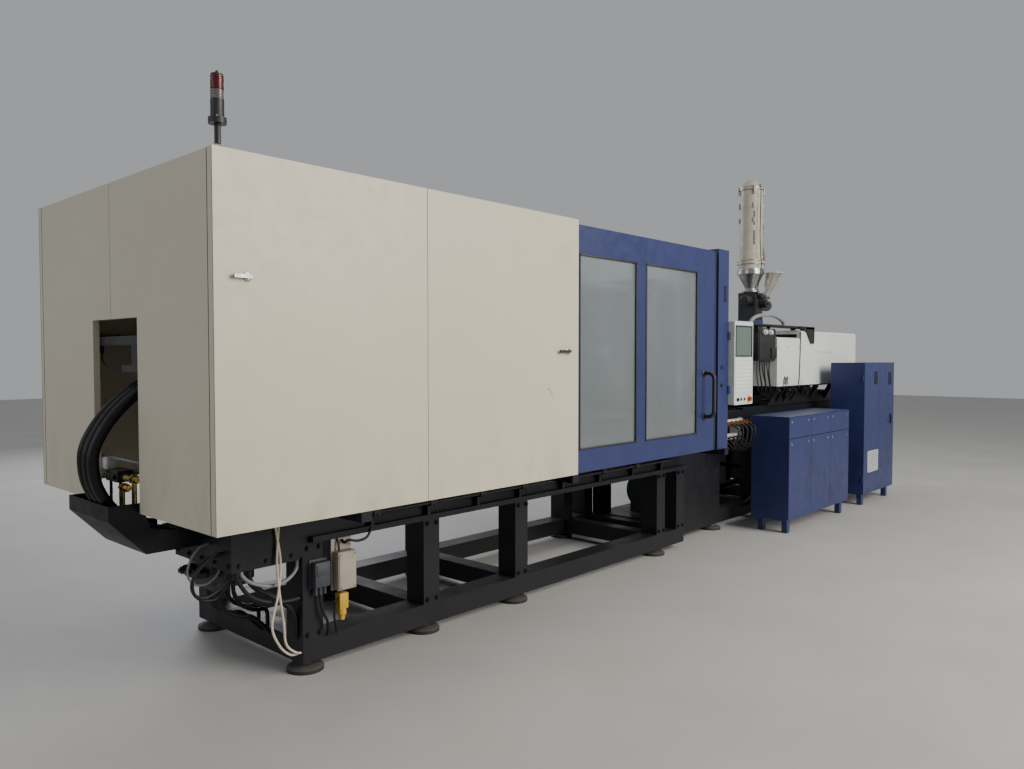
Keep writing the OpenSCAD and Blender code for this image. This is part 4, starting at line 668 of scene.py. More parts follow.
for y0, z, reach in ((-118, 1011, 140), (-2, 958, 84)):
    turned(fittings, (62, y0, z), "y", [(0, 15), (10, 19), (26, 19), (28, 14), (44, 14)], 24)
    turned(fittings, (62, y0 + 40, z), "y", [(0, 24), (2, 25), (22, 25), (24, 24)], 6)
    turned(fittings, (62, y0 + 62, z), "y", [(0, 16), (reach - 62, 16)], 24)
turned(fittings, (62, -70, 925), "z", [(-66, 12), (86, 12)], 20)
turned(fittings, (62, 70, 858), "z", [(-2, 12), (100, 12)], 20)
make("brass_fittings", "frame", brass, fittings)
cord("bracket_cable", "frame", black_sheath, [(50, 262, 1618), (48, 256, 1590), (47, 225, 1566),
     (47, 170, 1548), (48, 90, 1540), (48, 20, 1542), (49, -28, 1545)], 7, sides=8)

# %% [markdown]
# ## Pipes and cables at the foot of the clamp end
# Under the covers the base is full of what keeps the machine alive: a corrugated conduit and black
# cable loops that come out of the closed end block, cream lubrication tubes, a taped bundle, a grey
# valve box, a beige terminal box, a small yellow regulator and a drain hose. The photograph shows
# them half in the dark. Each cable is a free curve that hangs between its two ends, and the boxes sit
# on the base.

# %% Cables under the clamp end
cord("end_cable_1", "frame", black_sheath, [(299, -468, 676), (262, -470, 672), (196, -474, 634),
     (150, -478, 572), (158, -480, 508), (214, -478, 484), (280, -474, 510), (322, -470, 560),
     (330, -470, 590)], 15)
cord("end_cable_2", "frame", black_sheath, [(299, -404, 650), (250, -404, 640), (196, -406, 588),
     (176, -410, 520), (214, -414, 462), (290, -416, 448), (352, -414, 500), (372, -412, 560),
     (376, -412, 590)], 13)
cord("end_cable_3", "frame", grey_sheath, [(299, -340, 700), (252, -342, 690), (204, -346, 640),
     (186, -352, 570), (220, -358, 520), (280, -360, 516), (330, -360, 550), (344, -360, 590)], 11)
cord("end_conduit", "frame", black_sheath, [(420, -500, 590), (416, -500, 556), (430, -500, 508),
     (490, -500, 452), (570, -500, 400), (640, -500, 340), (668, -500, 280), (672, -500, 210),
     (690, -500, 176)], 30, sides=16)
for number, (x, bow) in enumerate(((512, 16), (548, -12))):
    cord(f"cream_tube_{number + 1}", "frame", cream_sheath, [(x, -562, 886), (x, -562, 850),
         (x + bow, -566, 740), (x + bow * 2, -572, 600), (x + bow, -574, 450), (x - bow, -570, 300),
         (x + 30, -560, 190), (x + 90, -548, 130), (x + 140, -530, 112), (679, -520, 112)], 12)
cord("taped_bundle", "frame", grey_sheath, [(360, -530, 590), (364, -532, 566), (400, -536, 530),
     (470, -538, 498), (540, -536, 486), (610, -530, 500), (664, -520, 540), (676, -512, 592)], 18,
     sides=14)
cord("drain_hose", "frame", black_sheath, [(330, -540, 590), (336, -542, 552), (380, -546, 480),
     (450, -548, 430), (530, -546, 404), (620, -540, 392), (679, -530, 390)], 20, sides=16)
boxes = bmesh.new()
block(boxes, (722, -602, 440), (812, -550, 566), 6)
block(boxes, (716, -556, 430), (818, -550, 576), 1)
block(boxes, (730, -606, 500), (804, -601, 556), 2)
for x in (740, 766, 792):
    turned(boxes, (x, -576, 440), (0, 0, -1), [(-1, 11), (10, 11), (12, 9), (40, 9), (42, 7)], 18)
make("grey_valve_box", "frame", motor_enamel, boxes)
beige = bmesh.new()
block(beige, (852, -612, 402), (964, -556, 600), 5)
block(beige, (846, -556, 396), (970, -550, 700), 1)
block(beige, (858, -616, 408), (958, -611, 594), 2)
for x, z in grid((866, 950), (416, 586)):
    socket_screw(beige, (x, -616, z), (0, -1, 0), 5)
make("beige_terminal_box", "frame", vessel_coat, beige)
regulator = bmesh.new()
block(regulator, (868, -600, 300), (922, -556, 382), 4)
turned(regulator, (895, -578, 300), (0, 0, -1), [(-1, 20), (6, 22), (30, 22), (36, 16), (58, 14)], 24)
block(regulator, (884, -566, 380), (906, -552, 404), 1)
make("yellow_regulator", "frame", yellow_abs, regulator)
lead("box_cable_1", "frame", black_sheath, [(880, -562, 664), (880, -576, 610), (880, -584, 500),
     (880, -584, 388), (850, -590, 330), (838, -592, 280), (850, -586, 220), (866, -570, 176)], 11)
lead("box_cable_2", "frame", black_sheath, [(766, -576, 398), (766, -576, 370), (776, -582, 310),
     (800, -584, 260), (812, -576, 210), (816, -560, 176)], 14)
lead("box_cable_3", "frame", black_sheath, [(908, -562, 652), (910, -582, 640), (930, -594, 652),
     (980, -600, 640), (1040, -598, 648), (1080, -590, 690)], 14)

# %% [markdown]
# ## Oil pipes along the base
# Black steel pipes carry oil along the base beam, in plastic clamp blocks that are screwed to the ribs.
# A pipe is a tube along a path with wide bends. The clamps come in a row at the spacing of the ribs,
# so a loop places them.

# %% Base pipes and their clamps
pipes = bmesh.new()
for sign in (-1, 1):
    for z, end in ((776, 3985), (812, 4030)):
        tube(pipes, smooth([(1010, sign * 500, z), (1030, sign * 560, z), (1060, sign * 606, z),
                            (1110, sign * 612, z), (2400, sign * 612, z), (end - 60, sign * 612, z),
                            (end, sign * 600, z), (end + 16, sign * 551, z)], 8), 22, 14)
make("base_oil_pipes", "frame", black_enamel, pipes)
clamps = bmesh.new()
for sign in (-1, 1):
    for x in (1080, 1480, 1880, 2260, 2700, 3120, 3540):
        block(clamps, (x - 12, sign * 585, 756), (x + 32, sign * 630, 832), 3)
        for z in (762, 794, 826):
            socket_screw(clamps, (x + 10, sign * 630, z), (0, sign, 0), 7)
make("pipe_clamps", "frame", black_nylon, clamps)
base_screws = bmesh.new()
for sign in (-1, 1):
    for x in (690, 1490, 2270, 3950, 4245):
        for dx, z in grid((20, 90), (700, 640, 200)):
            if z != 700:
                hexagon(base_screws, (x + dx, sign * BASE_FACE, z), (0, sign, 0), 24, 12)
    for x in (730, 2305, 4228):
        for y in (600, 900):
            hexagon(base_screws, (x + 12, sign * y, 870), "z", 24, 11)
make("base_bolts", "frame", base_enamel_with_painted_shade, base_screws)
nuts = bmesh.new()
for x, y in [(740, 475), (1540, 475), (2320, 475), (4000, 475), (5190, 340), (6730, 340), (8270, 340)]:
    for sign in (-1, 1):
        hexagon(nuts, (x, sign * y, 35), "z", 62, 17)
make("levelling_nuts", "frame", zinc_plate, nuts)

# %% [markdown]
# ## Latches, lamp and roof of the clamp cover
# The cover panels are pulled shut by lever latches, and each lever turns in a round rosette with two
# screws. The signal lamp has a clear lens below a red one, and both are ribbed inside so that they
# spread the light of a small bulb. Ribs could be a bump, but they show in the outline, so each lens is
# turned with its ribs. The two pieces stand for the plain CAD lenses.

# %% Latch rosettes and lamp lenses
rosettes = bmesh.new()
for x, z in ((145, 1925), (2232, 1632)):
    turned(rosettes, (x, -COVER_FACE, z), "y", [(0.2, 20), (-2.5, 20), (-4, 18), (-4, 10)], 28)
    for dx in (-14, 14):
        turned(rosettes, (x + dx, -COVER_FACE - 3.8, z), "y", [(0.2, 2.4), (-1.2, 2.0)], 10)
make("latch_rosettes", "frame", zinc_plate, rosettes)


def ribbed(low, high, ribs):
    """A lens profile with ribs, from height to height, about the pole."""
    profile, step = [(low, 26.2)], (high - low) / ribs
    for k in range(ribs):
        z = low + k * step
        profile += [(z + 0.15 * step, 27), (z + 0.62 * step, 27), (z + 0.75 * step, 25.4),
                    (z + 0.95 * step, 25.4)]
    return profile + [(high, 26.2)]


LAMP_X, LAMP_Y = 52, -948
for name, finish, low, high, ribs in (("lamp_lens_clear", clear_lens, 2626.3, 2663.5, 5),
                                      ("lamp_lens_red", red_lens, 2664.3, 2718.8, 7)):
    lens = bmesh.new()
    turned(lens, (LAMP_X, LAMP_Y, 0), "z", ribbed(low, high, ribs), 40)
    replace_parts(make(name, "frame", finish, lens), "lamp_lenses")
lamp_trim = bmesh.new()
for dx, dy in ring(30, 3, 0):
    socket_screw(lamp_trim, (LAMP_X + dx, LAMP_Y + dy, 2554), "z", 5)
turned(lamp_trim, (LAMP_X, LAMP_Y, 0), "z", [(2432, 18), (2435, 20), (2446, 20), (2450, 16)], 6)
make("lamp_screws", "frame", zinc_plate, lamp_trim)
roof_screws = bmesh.new()
for x in range(90, 2330, 340):
    for y in (-930, 0, 930):
        if not (x < 140 and y < 0):
            turned(roof_screws, (x, y, 2427), "z", [(-0.5, 9), (1.6, 9), (3, 6)], 16)
make("roof_screws", "frame", zinc_plate, roof_screws)
seals = bmesh.new()
for y in (-955, 955):
    block(seals, (-0.8, y - 2.2, 882), (3, y + 2.2, 2426), 0.4)
for y in (-996, 996):
    block(seals, (-0.6, y - 0.8, 882), (1, y + 0.8, 2426), 0.3)
make("corner_seals", "frame", seal_rubber, seals)

# %% [markdown]
# ## Trim of the safety gates
# Each window sits in a black rubber profile that is pressed over the edge of the sheet, with round
# corners at its joints. The closing edge of the gate has a soft black bumper that fills the gap to
# the post, and the bow handle stands on two round feet. The rear gate has the same parts, so one
# function makes a gate's trim and runs once for each side.

# %% Gate trim
WINDOWS = ((2410, 3040), (3155, 3846))
RIVET = [(0.2, 7), (1.6, 7), (3, 4.5)]


def gate_trim(body, sign):
    """The trim of one gate, on the side of the machine that the sign says."""
    face = sign * GATE_FACE
    seals = bmesh.new()
    for x0, x1 in WINDOWS:
        for z in (1020, 2235):
            way = 9 if z == 1020 else -9
            block(seals, (x0 - 3, face - sign * 2, z - way / 3), (x1 + 3, face + sign * 4, z + way), 2)
        for x in (x0, x1):
            way = 9 if x == x0 else -9
            block(seals, (x - way / 3, face - sign * 2, 1017), (x + way, face + sign * 4, 2238), 2)
    make(f"{body}_window_seals", body, seal_rubber, seals)
    bumper = bmesh.new()
    block(bumper, (4125.2, face - sign * 36, 882), (4150, face - sign * 4, 2408), 6)
    block(bumper, (4118, face, 880), (4128, face + sign * 2.5, 2410), 1)
    make(f"{body}_bumper", body, seal_rubber, bumper)
    feet = bmesh.new()
    for z in (1145, 1475):
        turned(feet, (3960, face, z), (0, sign, 0), [(0.2, 28), (5, 28), (8, 24), (8.5, 16)], 28)
        for dz in (-20, 20):
            socket_screw(feet, (3960, face + sign * 6, z + dz), (0, sign, 0), 5)
    make(f"{body}_handle_feet", body, black_nylon, feet)
    trim = bmesh.new()
    for x in range(2440, 4110, 300):
        for z in (900, 2385):
            turned(trim, (x, face, z), (0, sign, 0), RIVET, 14)
    for z in range(1080, 2240, 280):
        turned(trim, (3097, face, z), (0, sign, 0), RIVET, 14)
    make(f"{body}_rivets", body, blue_coat, trim)


gate_trim("front_gate", -1)
gate_trim("rear_gate", 1)

# %% [markdown]
# ## The blue post and the operator panel
# The two push buttons on the post have black collars. The panel is a moulded housing with a display
# in a dark bezel, rows of soft keys under a film, a key switch, and an emergency stop in its yellow
# collar. Lettering is left off. The keys are low blocks with rounded edges, one mesh for all of them.

# %% Post and panel
collars = bmesh.new()
for z in (1517, 1375):
    turned(collars, (4235, -GATE_FACE, z), "y", [(0.2, 17), (-4, 17), (-6, 15), (-6, 12.4), (-3, 12.2),
           (0.2, 12.2)], 30)
make("button_collars", "frame", black_nylon, collars)
bezel = bmesh.new()
for low, high in (((4362, 1599), (4374.5, 1851)), ((4641.5, 1599), (4654, 1851)),
                  ((4362, 1599), (4654, 1610.5)), ((4362, 1839.5), (4654, 1851))):
    block(bezel, (low[0], -999, low[1]), (high[0], -1003.5, high[1]), 2)
make("screen_bezel", "panel", black_nylon, bezel)
keys = bmesh.new()
for row, z in enumerate(range(1318, 1590, 31)):
    for column, x in enumerate(range(4372, 4640, 30)):
        if not (row > 6 and column in (2, 6)):
            block(keys, (x, -999.5, z), (x + 22, -1002.6, z + 19), 1.4)
make("soft_keys", "panel", light_abs, keys)
key_field = bmesh.new()
block(key_field, (4362, -999, 1308), (4654, -1000.9, 1592), 0.8)
make("key_field", "panel", grey_abs, key_field)
stop_ring = bmesh.new()
turned(stop_ring, (4598, -1000, 1257), "y", [(0.3, 30), (-2.5, 30), (-4, 28), (-4, 13)], 32)
make("stop_collar", "panel", yellow_abs, stop_ring)
switch = bmesh.new()
turned(switch, (4404, -1000, 1257), "y", [(0.3, 15), (-7, 15), (-9, 13), (-9, 8)], 24)
block(switch, (4401, -1018, 1247), (4407, -1008, 1267), 1)
turned(switch, (4468, -1000, 1257), "y", [(0.3, 12), (-4, 12), (-6, 10)], 24)
turned(switch, (4524, -1000, 1257), "y", [(0.3, 12), (-4, 12), (-6, 10)], 24)
make("panel_switches", "panel", black_nylon, switch)
housing = bmesh.new()
for z in range(1290, 1820, 22):
    block(housing, (4440, -921, z), (4600, -916.5, z + 10), 1)
for x, z in grid((4362, 4654), (1229, 1871)):
    socket_screw(housing, (x, -920.5, z), "y", 5)
make("panel_back_ribs", "panel", grey_abs, housing)

# %% [markdown]
# ## Cooling water
# A white manifold feeds cooling water to the mould and the barrel. Each branch has a brass ball valve
# with a short lever and a hose tail, and a black hose that bends down to the return pipe. The hoses are
# free curves, a little different in length, because hoses are cut by eye.

# %% Valves and water hoses
valves = bmesh.new()
levers = bmesh.new()
for i in range(6):
    x = 5040 + 80 * i
    turned(valves, (x, -559.5, 990), (0, -1, 0), [(-4, 17), (4, 20), (12, 20), (14, 16), (30, 16),
           (32, 20), (40, 20), (42, 10), (50, 10), (51, 12), (58, 9), (59, 12), (66, 9)], 20)
    turned(valves, (x, -582, 1004), "z", [(-2, 7), (12, 7)], 14)
    block(levers, (x - 5, -626, 1014), (x + 5, -576, 1019), 1.5)
    turned(levers, (x, -582, 1013), "z", [(0, 9), (7, 9)], 16)
    turned(valves, (x - 40, -499, 860), (0, -1, 0), [(-3, 12), (10, 12), (11, 9), (24, 8)], 18)
    drop = 40 + 9 * ((i * 5) % 4)
    cord(f"water_hose_{i + 1}", "frame", black_sheath, [(x, -562, 990), (x, -616, 990),
         (x - 2, -650, 986), (x - 8, -686 - drop / 4, 950), (x - 20, -692, 890 - drop),
         (x - 32, -640, 815 - drop), (x - 40, -576, 838 - drop / 2), (x - 40, -540, 858),
         (x - 40, -512, 860)], 16)
make("water_valves", "frame", brass, valves)
make("valve_levers", "frame", red_abs, levers)
flanges = bmesh.new()
for z in (860, 990):
    for x in (4974, 5496):
        turned(flanges, (x, -470, z), "x", [(-2, 38), (8, 38), (10, 36)], 28)
make("manifold_flanges", "frame", pipe_enamel, flanges)

# %% [markdown]
# ## Wiring of the barrel heaters
# Nine heater bands clamp round the barrel. Each one has screw lugs below it, and a terminal box on
# top. Stiff braided leads go from box to box in low bows, and the last one goes to the front cover.
# A real lead of this kind keeps its bow by itself, so no clips are drawn.

# %% Heater leads and lugs
FIRST_BAND, BAND_PITCH, BANDS = 4790, 154, 9
lugs = bmesh.new()
for k in range(BANDS):
    x = FIRST_BAND + BAND_PITCH * k
    for dx in (28, 102):
        block(lugs, (x + dx - 7, -110, 1652), (x + dx + 7, -93, 1662), 1)
        block(lugs, (x + dx - 7, -110, 1618), (x + dx + 7, -93, 1628), 1)
        turned(lugs, (x + dx, -104, 1606), "z", [(0, 6), (6, 6), (6.1, 3), (62, 3), (62.1, 6), (70, 6)],
               12)
    turned(lugs, (x + 76, 0, 1773), "z", [(-2, 11), (6, 11), (7, 8), (14, 8)], 6)
    turned(lugs, (x + 50, 0, 1773), "z", [(-2, 11), (6, 11), (7, 8), (14, 8)], 6)
    rise = 1822 + 5 * ((k * 3) % 4)
    if k < BANDS - 1:
        bow = [(x + 76, 0, 1776), (x + 77, 1, 1796), (x + 98, 5, rise), (x + 140, 8, rise + 8),
               (x + 182, 5, rise), (x + 203, 1, 1796), (x + 204, 0, 1776)]
    else:
        bow = [(x + 76, 0, 1776), (x + 77, 2, 1796), (x + 90, 14, rise), (x + 130, 34, rise + 4),
               (x + 180, 44, rise), (6236, 48, 1810)]
    lead(f"heater_lead_{k + 1}", "carriage", grey_sheath, bow, 10, 10)
make("band_lugs", "carriage", zinc_plate, lugs)

# %% [markdown]
# ## The black connector box and its cables
# Left of the front injection cover hangs a black box with round grey plugs on top, and a bunch of
# cables falls from it to the carriage. A bunch looks right only when each cable takes a line of its
# own, so a loop places them with a small shift of start, sag and end.

# %% Connector box
connector_box = bmesh.new()
block(connector_box, (5860, -482, 1560), (6238, -408, 1880), 8)
block(connector_box, (5872, -488, 1574), (6226, -481, 1866), 3)
for x in (5910, 6180):
    block(connector_box, (x, -440, 1878), (x + 20, -410, 1905), 1)
for x, z in grid((5886, 6212), (1588, 1852)):
    socket_screw(connector_box, (x, -488, z), (0, -1, 0), 6)
block(connector_box, (6120, -500, 1585), (6234, -486, 1690), 5)
make("connector_box", "carriage", black_nylon, connector_box)
plugs = bmesh.new()
for x in (5952, 6070):
    turned(plugs, (x, -470, 1842), (0, -1, 0), [(0, 24), (20, 24), (22, 28), (40, 28), (42, 24), (56, 22),
           (58, 14)], 26)
make("round_plugs", "carriage", grey_abs, plugs)
for k in range(6):
    x = 5890 + 54 * k
    lean = 14 * ((k * 7) % 5 - 2)
    cord(f"box_lead_{k + 1}", "carriage", black_sheath, [(x, -452, 1890), (x, -452, 1740),
         (x, -452, 1600), (x, -453, 1530), (x + lean / 2, -458, 1440), (x + 30 + lean, -462, 1330),
         (x + 60 + lean / 2, -458, 1250), (6170 + 12 * k, -440, 1190), (6232, -420 + 4 * k, 1165),
         (6249, -404 + 14 * k, 1160)], 14 if k % 2 else 11)
cord("shelf_hose", "carriage", grey_sheath, [(5790, -430, 1919), (5800, -431, 1950), (5880, -436, 1990),
     (6020, -444, 2012), (6178, -450, 2018), (6330, -446, 2006), (6470, -438, 1975), (6530, -432, 1945),
     (6536, -430, 1920)], 36, sides=18)
cord("cover_cable", "carriage", black_sheath, [(6798, -502, 1868), (6797, -505, 1840), (6790, -507, 1700),
     (6780, -507, 1540), (6770, -507, 1400), (6762, -506, 1330), (6760, -496, 1299)], 8, sides=10)
cylinder_ports = bmesh.new()
for sign in (-1, 1):
    for x in (5560, 6160):
        turned(cylinder_ports, (x, sign * 383, 1640), (0, sign, 0), [(0, 18), (10, 18), (11, 14),
               (26, 14)], 6)
make("cylinder_ports", "carriage", zinc_plate, cylinder_ports)

# %% [markdown]
# ## Trim of the injection covers
# The covers are thin sheet, held by small screws in rows. The rear cover has a shallow bare plate
# and a pressed bead along its upper edge. The beads are half-round bars that stand a few millimetres
# out of the sheet. The two slanted slots of the front cover have a black rubber edging, so that a
# cable or a finger meets no bare sheet: it is one round bar, led once round the slot.

# %% Cover screws, bead and plate
cover_trim = bmesh.new()
for sign in (-1, 1):
    for x in (6270, 6500, 6770, 6840, 7240, 7640, 8040, 8390):
        for z in (1325, 1700):
            turned(cover_trim, (x, sign * HOOD_FACE, z), (0, sign, 0), [(0.2, 8), (1.5, 8), (3, 5)], 14)
make("cover_screws", "carriage", zinc_plate, cover_trim)
bead = bmesh.new()
for sign in (-1, 1):
    tube(bead, [(6806, sign * 499, 1846), (8414, sign * 499, 1846)], 8, 10)
    block(bead, (6804, sign * 500.5, 1302), (8416, sign * 499, 1318), 0.5)
    block(bead, (6244, sign * 500.5, 1302), (6796, sign * 499, 1318), 0.5)
block(bead, (7223, -499, 1647), (7684, -503, 1700), 1.5)
make("cover_beads", "carriage", pale_coat, bead)
edging, lean = bmesh.new(), radians(24)
for x in (6410, 6470):
    loop = [(18, 0), (18, 26)] + [(18 * cos(radians(a)), 26 + 18 * sin(radians(a)))
                                  for a in range(20, 180, 20)]
    loop += [(-18, 26), (-18, -26)] + [(-18 * cos(radians(a)), -26 - 18 * sin(radians(a)))
                                       for a in range(20, 180, 20)]
    tube(edging, [(x + u * cos(lean) + w * sin(lean), -501, 1352 - u * sin(lean) + w * cos(lean))
                  for u, w in loop + [(18, -26), (18, 2)]], 9, 10)
make("slot_edging", "carriage", seal_rubber, edging)

# %% [markdown]
# ## Cabinet fittings
# The cabinet doors close with flush pull handles and a black swing handle, and have a louvred vent.
# A flush handle is a dish with a paddle in it: here it is a raised rim with a paddle below its level.
# The louvres are tilted slats in a frame. Each fitting rides on the door that it is screwed to.

# %% Cabinet fittings
def flush_handle(mesh, x, z, width, height):
    """A flush pull handle in a cabinet door: a raised rim with a paddle in it."""
    rim = 9
    for low, high in (((x, z), (x + rim, z + height)), ((x + width - rim, z), (x + width, z + height)),
                      ((x, z), (x + width, z + rim)), ((x, z + height - rim), (x + width, z + height))):
        block(mesh, (low[0], -999, low[1]), (high[0], -1006, high[1]), 2.5)
    block(mesh, (x + rim + 2, -999, z + rim + 2), (x + width - rim - 2, -1003, z + height - rim - 2), 1.5)


left_handle = bmesh.new()
flush_handle(left_handle, 7600, 1300, 74, 140)
make("left_door_handle", "left_door", black_nylon, left_handle)
right_handle = bmesh.new()
flush_handle(right_handle, 8060, 1285, 74, 140)
block(right_handle, (8118, -999, 835), (8146, -1005, 955), 2)
block(right_handle, (8123, -1004, 845), (8141, -1016, 930), 4)
turned(right_handle, (8132, -1004, 938), "y", [(0, 9), (-10, 9), (-12, 7)], 20)
make("right_door_handle", "right_door", black_nylon, right_handle)
vent = bmesh.new()
for low, high in (((7400, 350), (7410, 580)), ((7710, 350), (7720, 580)), ((7400, 350), (7720, 360)),
                  ((7400, 570), (7720, 580))):
    block(vent, (low[0], -999, low[1]), (high[0], -1008, high[1]), 2.5)
for k in range(11):
    z = 366 + 18.6 * k
    plate(vent, [(7408, -999.5, z + 8), (7408, -1006.5, z), (7408, -1006.5, z + 2.5),
                 (7408, -999.5, z + 10.5)], (304, 0, 0))
make("door_vent", "left_door", grey_abs, vent)
locks = bmesh.new()
for x0, x1 in ((5400, 5890), (5890, 6353), (6353, 6845)):
    for x in (x0 + 60, x1 - 60):
        for z in (810, 1010):
            turned(locks, (x, -CABINET_FACE, z), "y", [(0.3, 13), (-2, 13), (-3.5, 11), (-3.5, 5)], 22)
            block(locks, (x - 8, -1005, z - 1.5), (x + 8, -1003, z + 1.5), 0.5)
make("cabinet_locks", "frame", zinc_plate, locks)
cabinet_trim = bmesh.new()
for x0, x1, top in ((5400, 6845, 1057), (7290, 8240, 1535)):
    for x in (x0, x1):
        way = -1 if x == x0 else 1
        for y in (-930, -720):
            for z in (200, top - 90):
                turned(cabinet_trim, (x, y, z), (way, 0, 0), [(0.2, 6), (1.2, 6), (2.4, 4)], 14)
    for x in range(x0 + 70, x1 - 40, 260):
        for z in (200, top - 90):
            turned(cabinet_trim, (x, -CABINET_BACK, z), "y", [(0.2, 8), (1.5, 8), (3, 5)], 14)
make("cabinet_screws", "frame", blue_coat, cabinet_trim)
rear_vents = bmesh.new()
for x0 in (5600, 6300, 7560):
    for k in range(9):
        z = 300 + 20 * k
        plate(rear_vents, [(x0, -640.5, z + 9), (x0, -633, z), (x0, -633, z + 3), (x0, -640.5, z + 12)],
              (260, 0, 0))
make("rear_louvres", "frame", blue_coat, rear_vents)

# %% [markdown]
# ## The feed column
# Granules are sucked into the loader's vessel, fall through a spun steel cone into the dosing block,
# and from there into the throat of the barrel. The lid is held by toggle catches. Suction comes
# through an elbow and a ribbed hose. The cone and rings are turned, the hose is a free curve.

# %% Loader, cone and doser
cone = bmesh.new()
turned(cone, (FEED_X, 0, 0), "z", [(2303, 91), (2315, 91), (2316, 59.5), (2343, 59.5), (2486, 131.5),
                                   (2490, 143), (2530, 143), (2533, 134), (2546, 133), (2548, 131)], 56)
make("steel_cone", "carriage", ground_steel, cone)
rings = bmesh.new()
for low, high, r in ((2318, 2340, 64), (2594, 2606, 145), (2630, 2641, 145), (3388, 3398, 131),
                     (3412, 3421, 131)):
    turned(rings, (FEED_X, 0, 0), "z", [(low, r - 4), (low + 2, r), (high - 2, r), (high, r - 4)], 56)
for k in range(3):
    angle = radians(130 + 90 * k)
    ux, uy = cos(angle), sin(angle)
    for low, high, reach in ((3340, 3440, 134), (3190, 3250, 126), (3040, 3090, 126)):
        x, y = FEED_X + ux * (reach - 8), uy * (reach - 8)
        plate(rings, [(x - 11 * uy, y + 11 * ux, low), (x + 11 * uy, y - 11 * ux, low),
                      (x + 9 * uy, y - 9 * ux, high), (x - 9 * uy, y + 9 * ux, high)],
              (ux * 14, uy * 14, 0))
        tube(rings, [(x + ux * 12 - 8 * uy, y + uy * 12 + 8 * ux, low + 14),
                     (x + ux * 12 + 8 * uy, y + uy * 12 - 8 * ux, low + 14)], 9, 10)
make("vessel_clamps", "carriage", zinc_plate, rings)
seams = bmesh.new()
for z in (2760, 3200):
    turned(seams, (FEED_X, 0, z), "z", [(-3, 119.6), (-1.5, 121.6), (1.5, 121.6), (3, 119.6)], 56)
turned(seams, (FEED_X, 0, 3484), "z", [(0, 34), (6, 30), (10, 24), (15, 24)], 28)
make("vessel_seams", "carriage", vessel_coat, seams)
glass = bmesh.new()
for z in (2800, 3010):
    rim = [(FEED_X - r * cos(radians(a)), -r * sin(radians(a)), z) for r,
           turn in ((124, (38, 42, 46, 50)), (119, (50, 46, 42, 38))) for a in turn]
    plate(glass, rim, (0, 0, 150))
make("sight_glasses", "carriage", display_glass, glass)
cord("loader_cable", "carriage", black_sheath, [(6600, -112, 3430), (6598, -132, 3424),
     (6594, -140, 3340), (6590, -138, 3100), (6588, -138, 2860), (6586, -150, 2660), (6584, -156, 2560),
     (6590, -130, 2420), (6600, -110, 2320), (6610, -100, 2262)], 10, sides=8)
elbow = bmesh.new()
tube(elbow, smooth([(6770, 0, 3110), (6820, 0, 3110), (6862, 0, 3104), (6888, 0, 3076), (6892, 0, 3040)]),
     52, 22)
turned(elbow, (6774, 0, 3110), "x", [(-2, 36), (10, 36), (12, 30)], 28)
turned(elbow, (6892, 0, 3040), (0, 0, -1), [(-2, 29), (8, 30), (30, 30), (34, 28)], 28)
turned(elbow, (6784, 0, 2560), "x", [(-2, 34), (12, 34), (13, 27), (60, 27)], 28)
make("suction_elbow", "carriage", zinc_plate, elbow)
cord("suction_hose", "carriage", grey_sheath, [(6776, 0, 3110), (6824, 0, 3110), (6862, 0, 3104),
     (6888, 0, 3076), (6892, 0, 3040), (6892, 0, 3008), (6893, 0, 2970), (6910, -4, 2870),
     (6950, -8, 2760), (6972, -10, 2670), (6950, -8, 2600), (6890, -2, 2564), (6846, 0, 2560),
     (6796, 0, 2560)], 50, sides=20)
hose_rings = bmesh.new()
for (x, z), (dx, dz) in (((6893, 2966), (0.02, -1)), ((6868, 2562), (1, 0.1))):
    turned(hose_rings, (x, -1, z), (dx, 0, dz), [(-6, 27), (-5, 28.5), (5, 28.5), (6, 27)], 28)
make("hose_clips", "carriage", zinc_plate, hose_rings)
dosing = bmesh.new()
turned(dosing, (6476, -30, 2200), (-1, 0, 0), [(-4, 52), (6, 53), (24, 53), (30, 46), (31, 20), (38, 19)],
       12)
block(dosing, (6590, -101, 2040), (6730, -94, 2110), 3)
turned(dosing, (6700, -164, 2170), (0, -1, 0), [(0, 40), (8, 40), (10, 34), (11, 12), (26, 11)], 28)
for x, z in grid((6577, 6743), (2015, 2280)):
    socket_screw(dosing, (x, -95, z), (0, -1, 0), 8)
block(dosing, (6630, -140, 2228), (6740, -94, 2268), 4)
make("dosing_fittings", "carriage", black_nylon, dosing)
doser_motor = bmesh.new()
turned(doser_motor, (6754, 0, 2170), "x", [(0, 56), (26, 56), (28, 44), (44, 44), (46, 60), (62, 60)], 32)
for k in range(9):
    turned(doser_motor, (6816 + 22 * k, 0, 2170), "x", [(0, 54), (3, 60), (13, 60), (16, 54), (22, 54)],
           32)
turned(doser_motor, (7014, 0, 2170), "x", [(0, 60), (50, 60), (60, 52), (70, 30)], 32)
block(doser_motor, (6840, -34, 2222), (6920, 34, 2262), 4)
make("doser_motor", "carriage", motor_enamel, doser_motor)
rim = bmesh.new()
turned(rim, (6842.4, -182.4, 2506), "z", [(0, 85.5), (0, 89), (2, 90), (5, 90), (7, 88), (7, 81.5)], 48)
make("funnel_rim", "carriage", pipe_enamel, rim)

# %% [markdown]
# ## The black shelf
# The shelf over the injection covers is painted black, while the covers are pale. In the CAD model
# they are one solid of one colour, so the black coat is drawn as a skin, 2 mm thick, round the shelf
# and its tapered side plate. Real shelves of this kind are folded sheet, so the front edge has a lip.

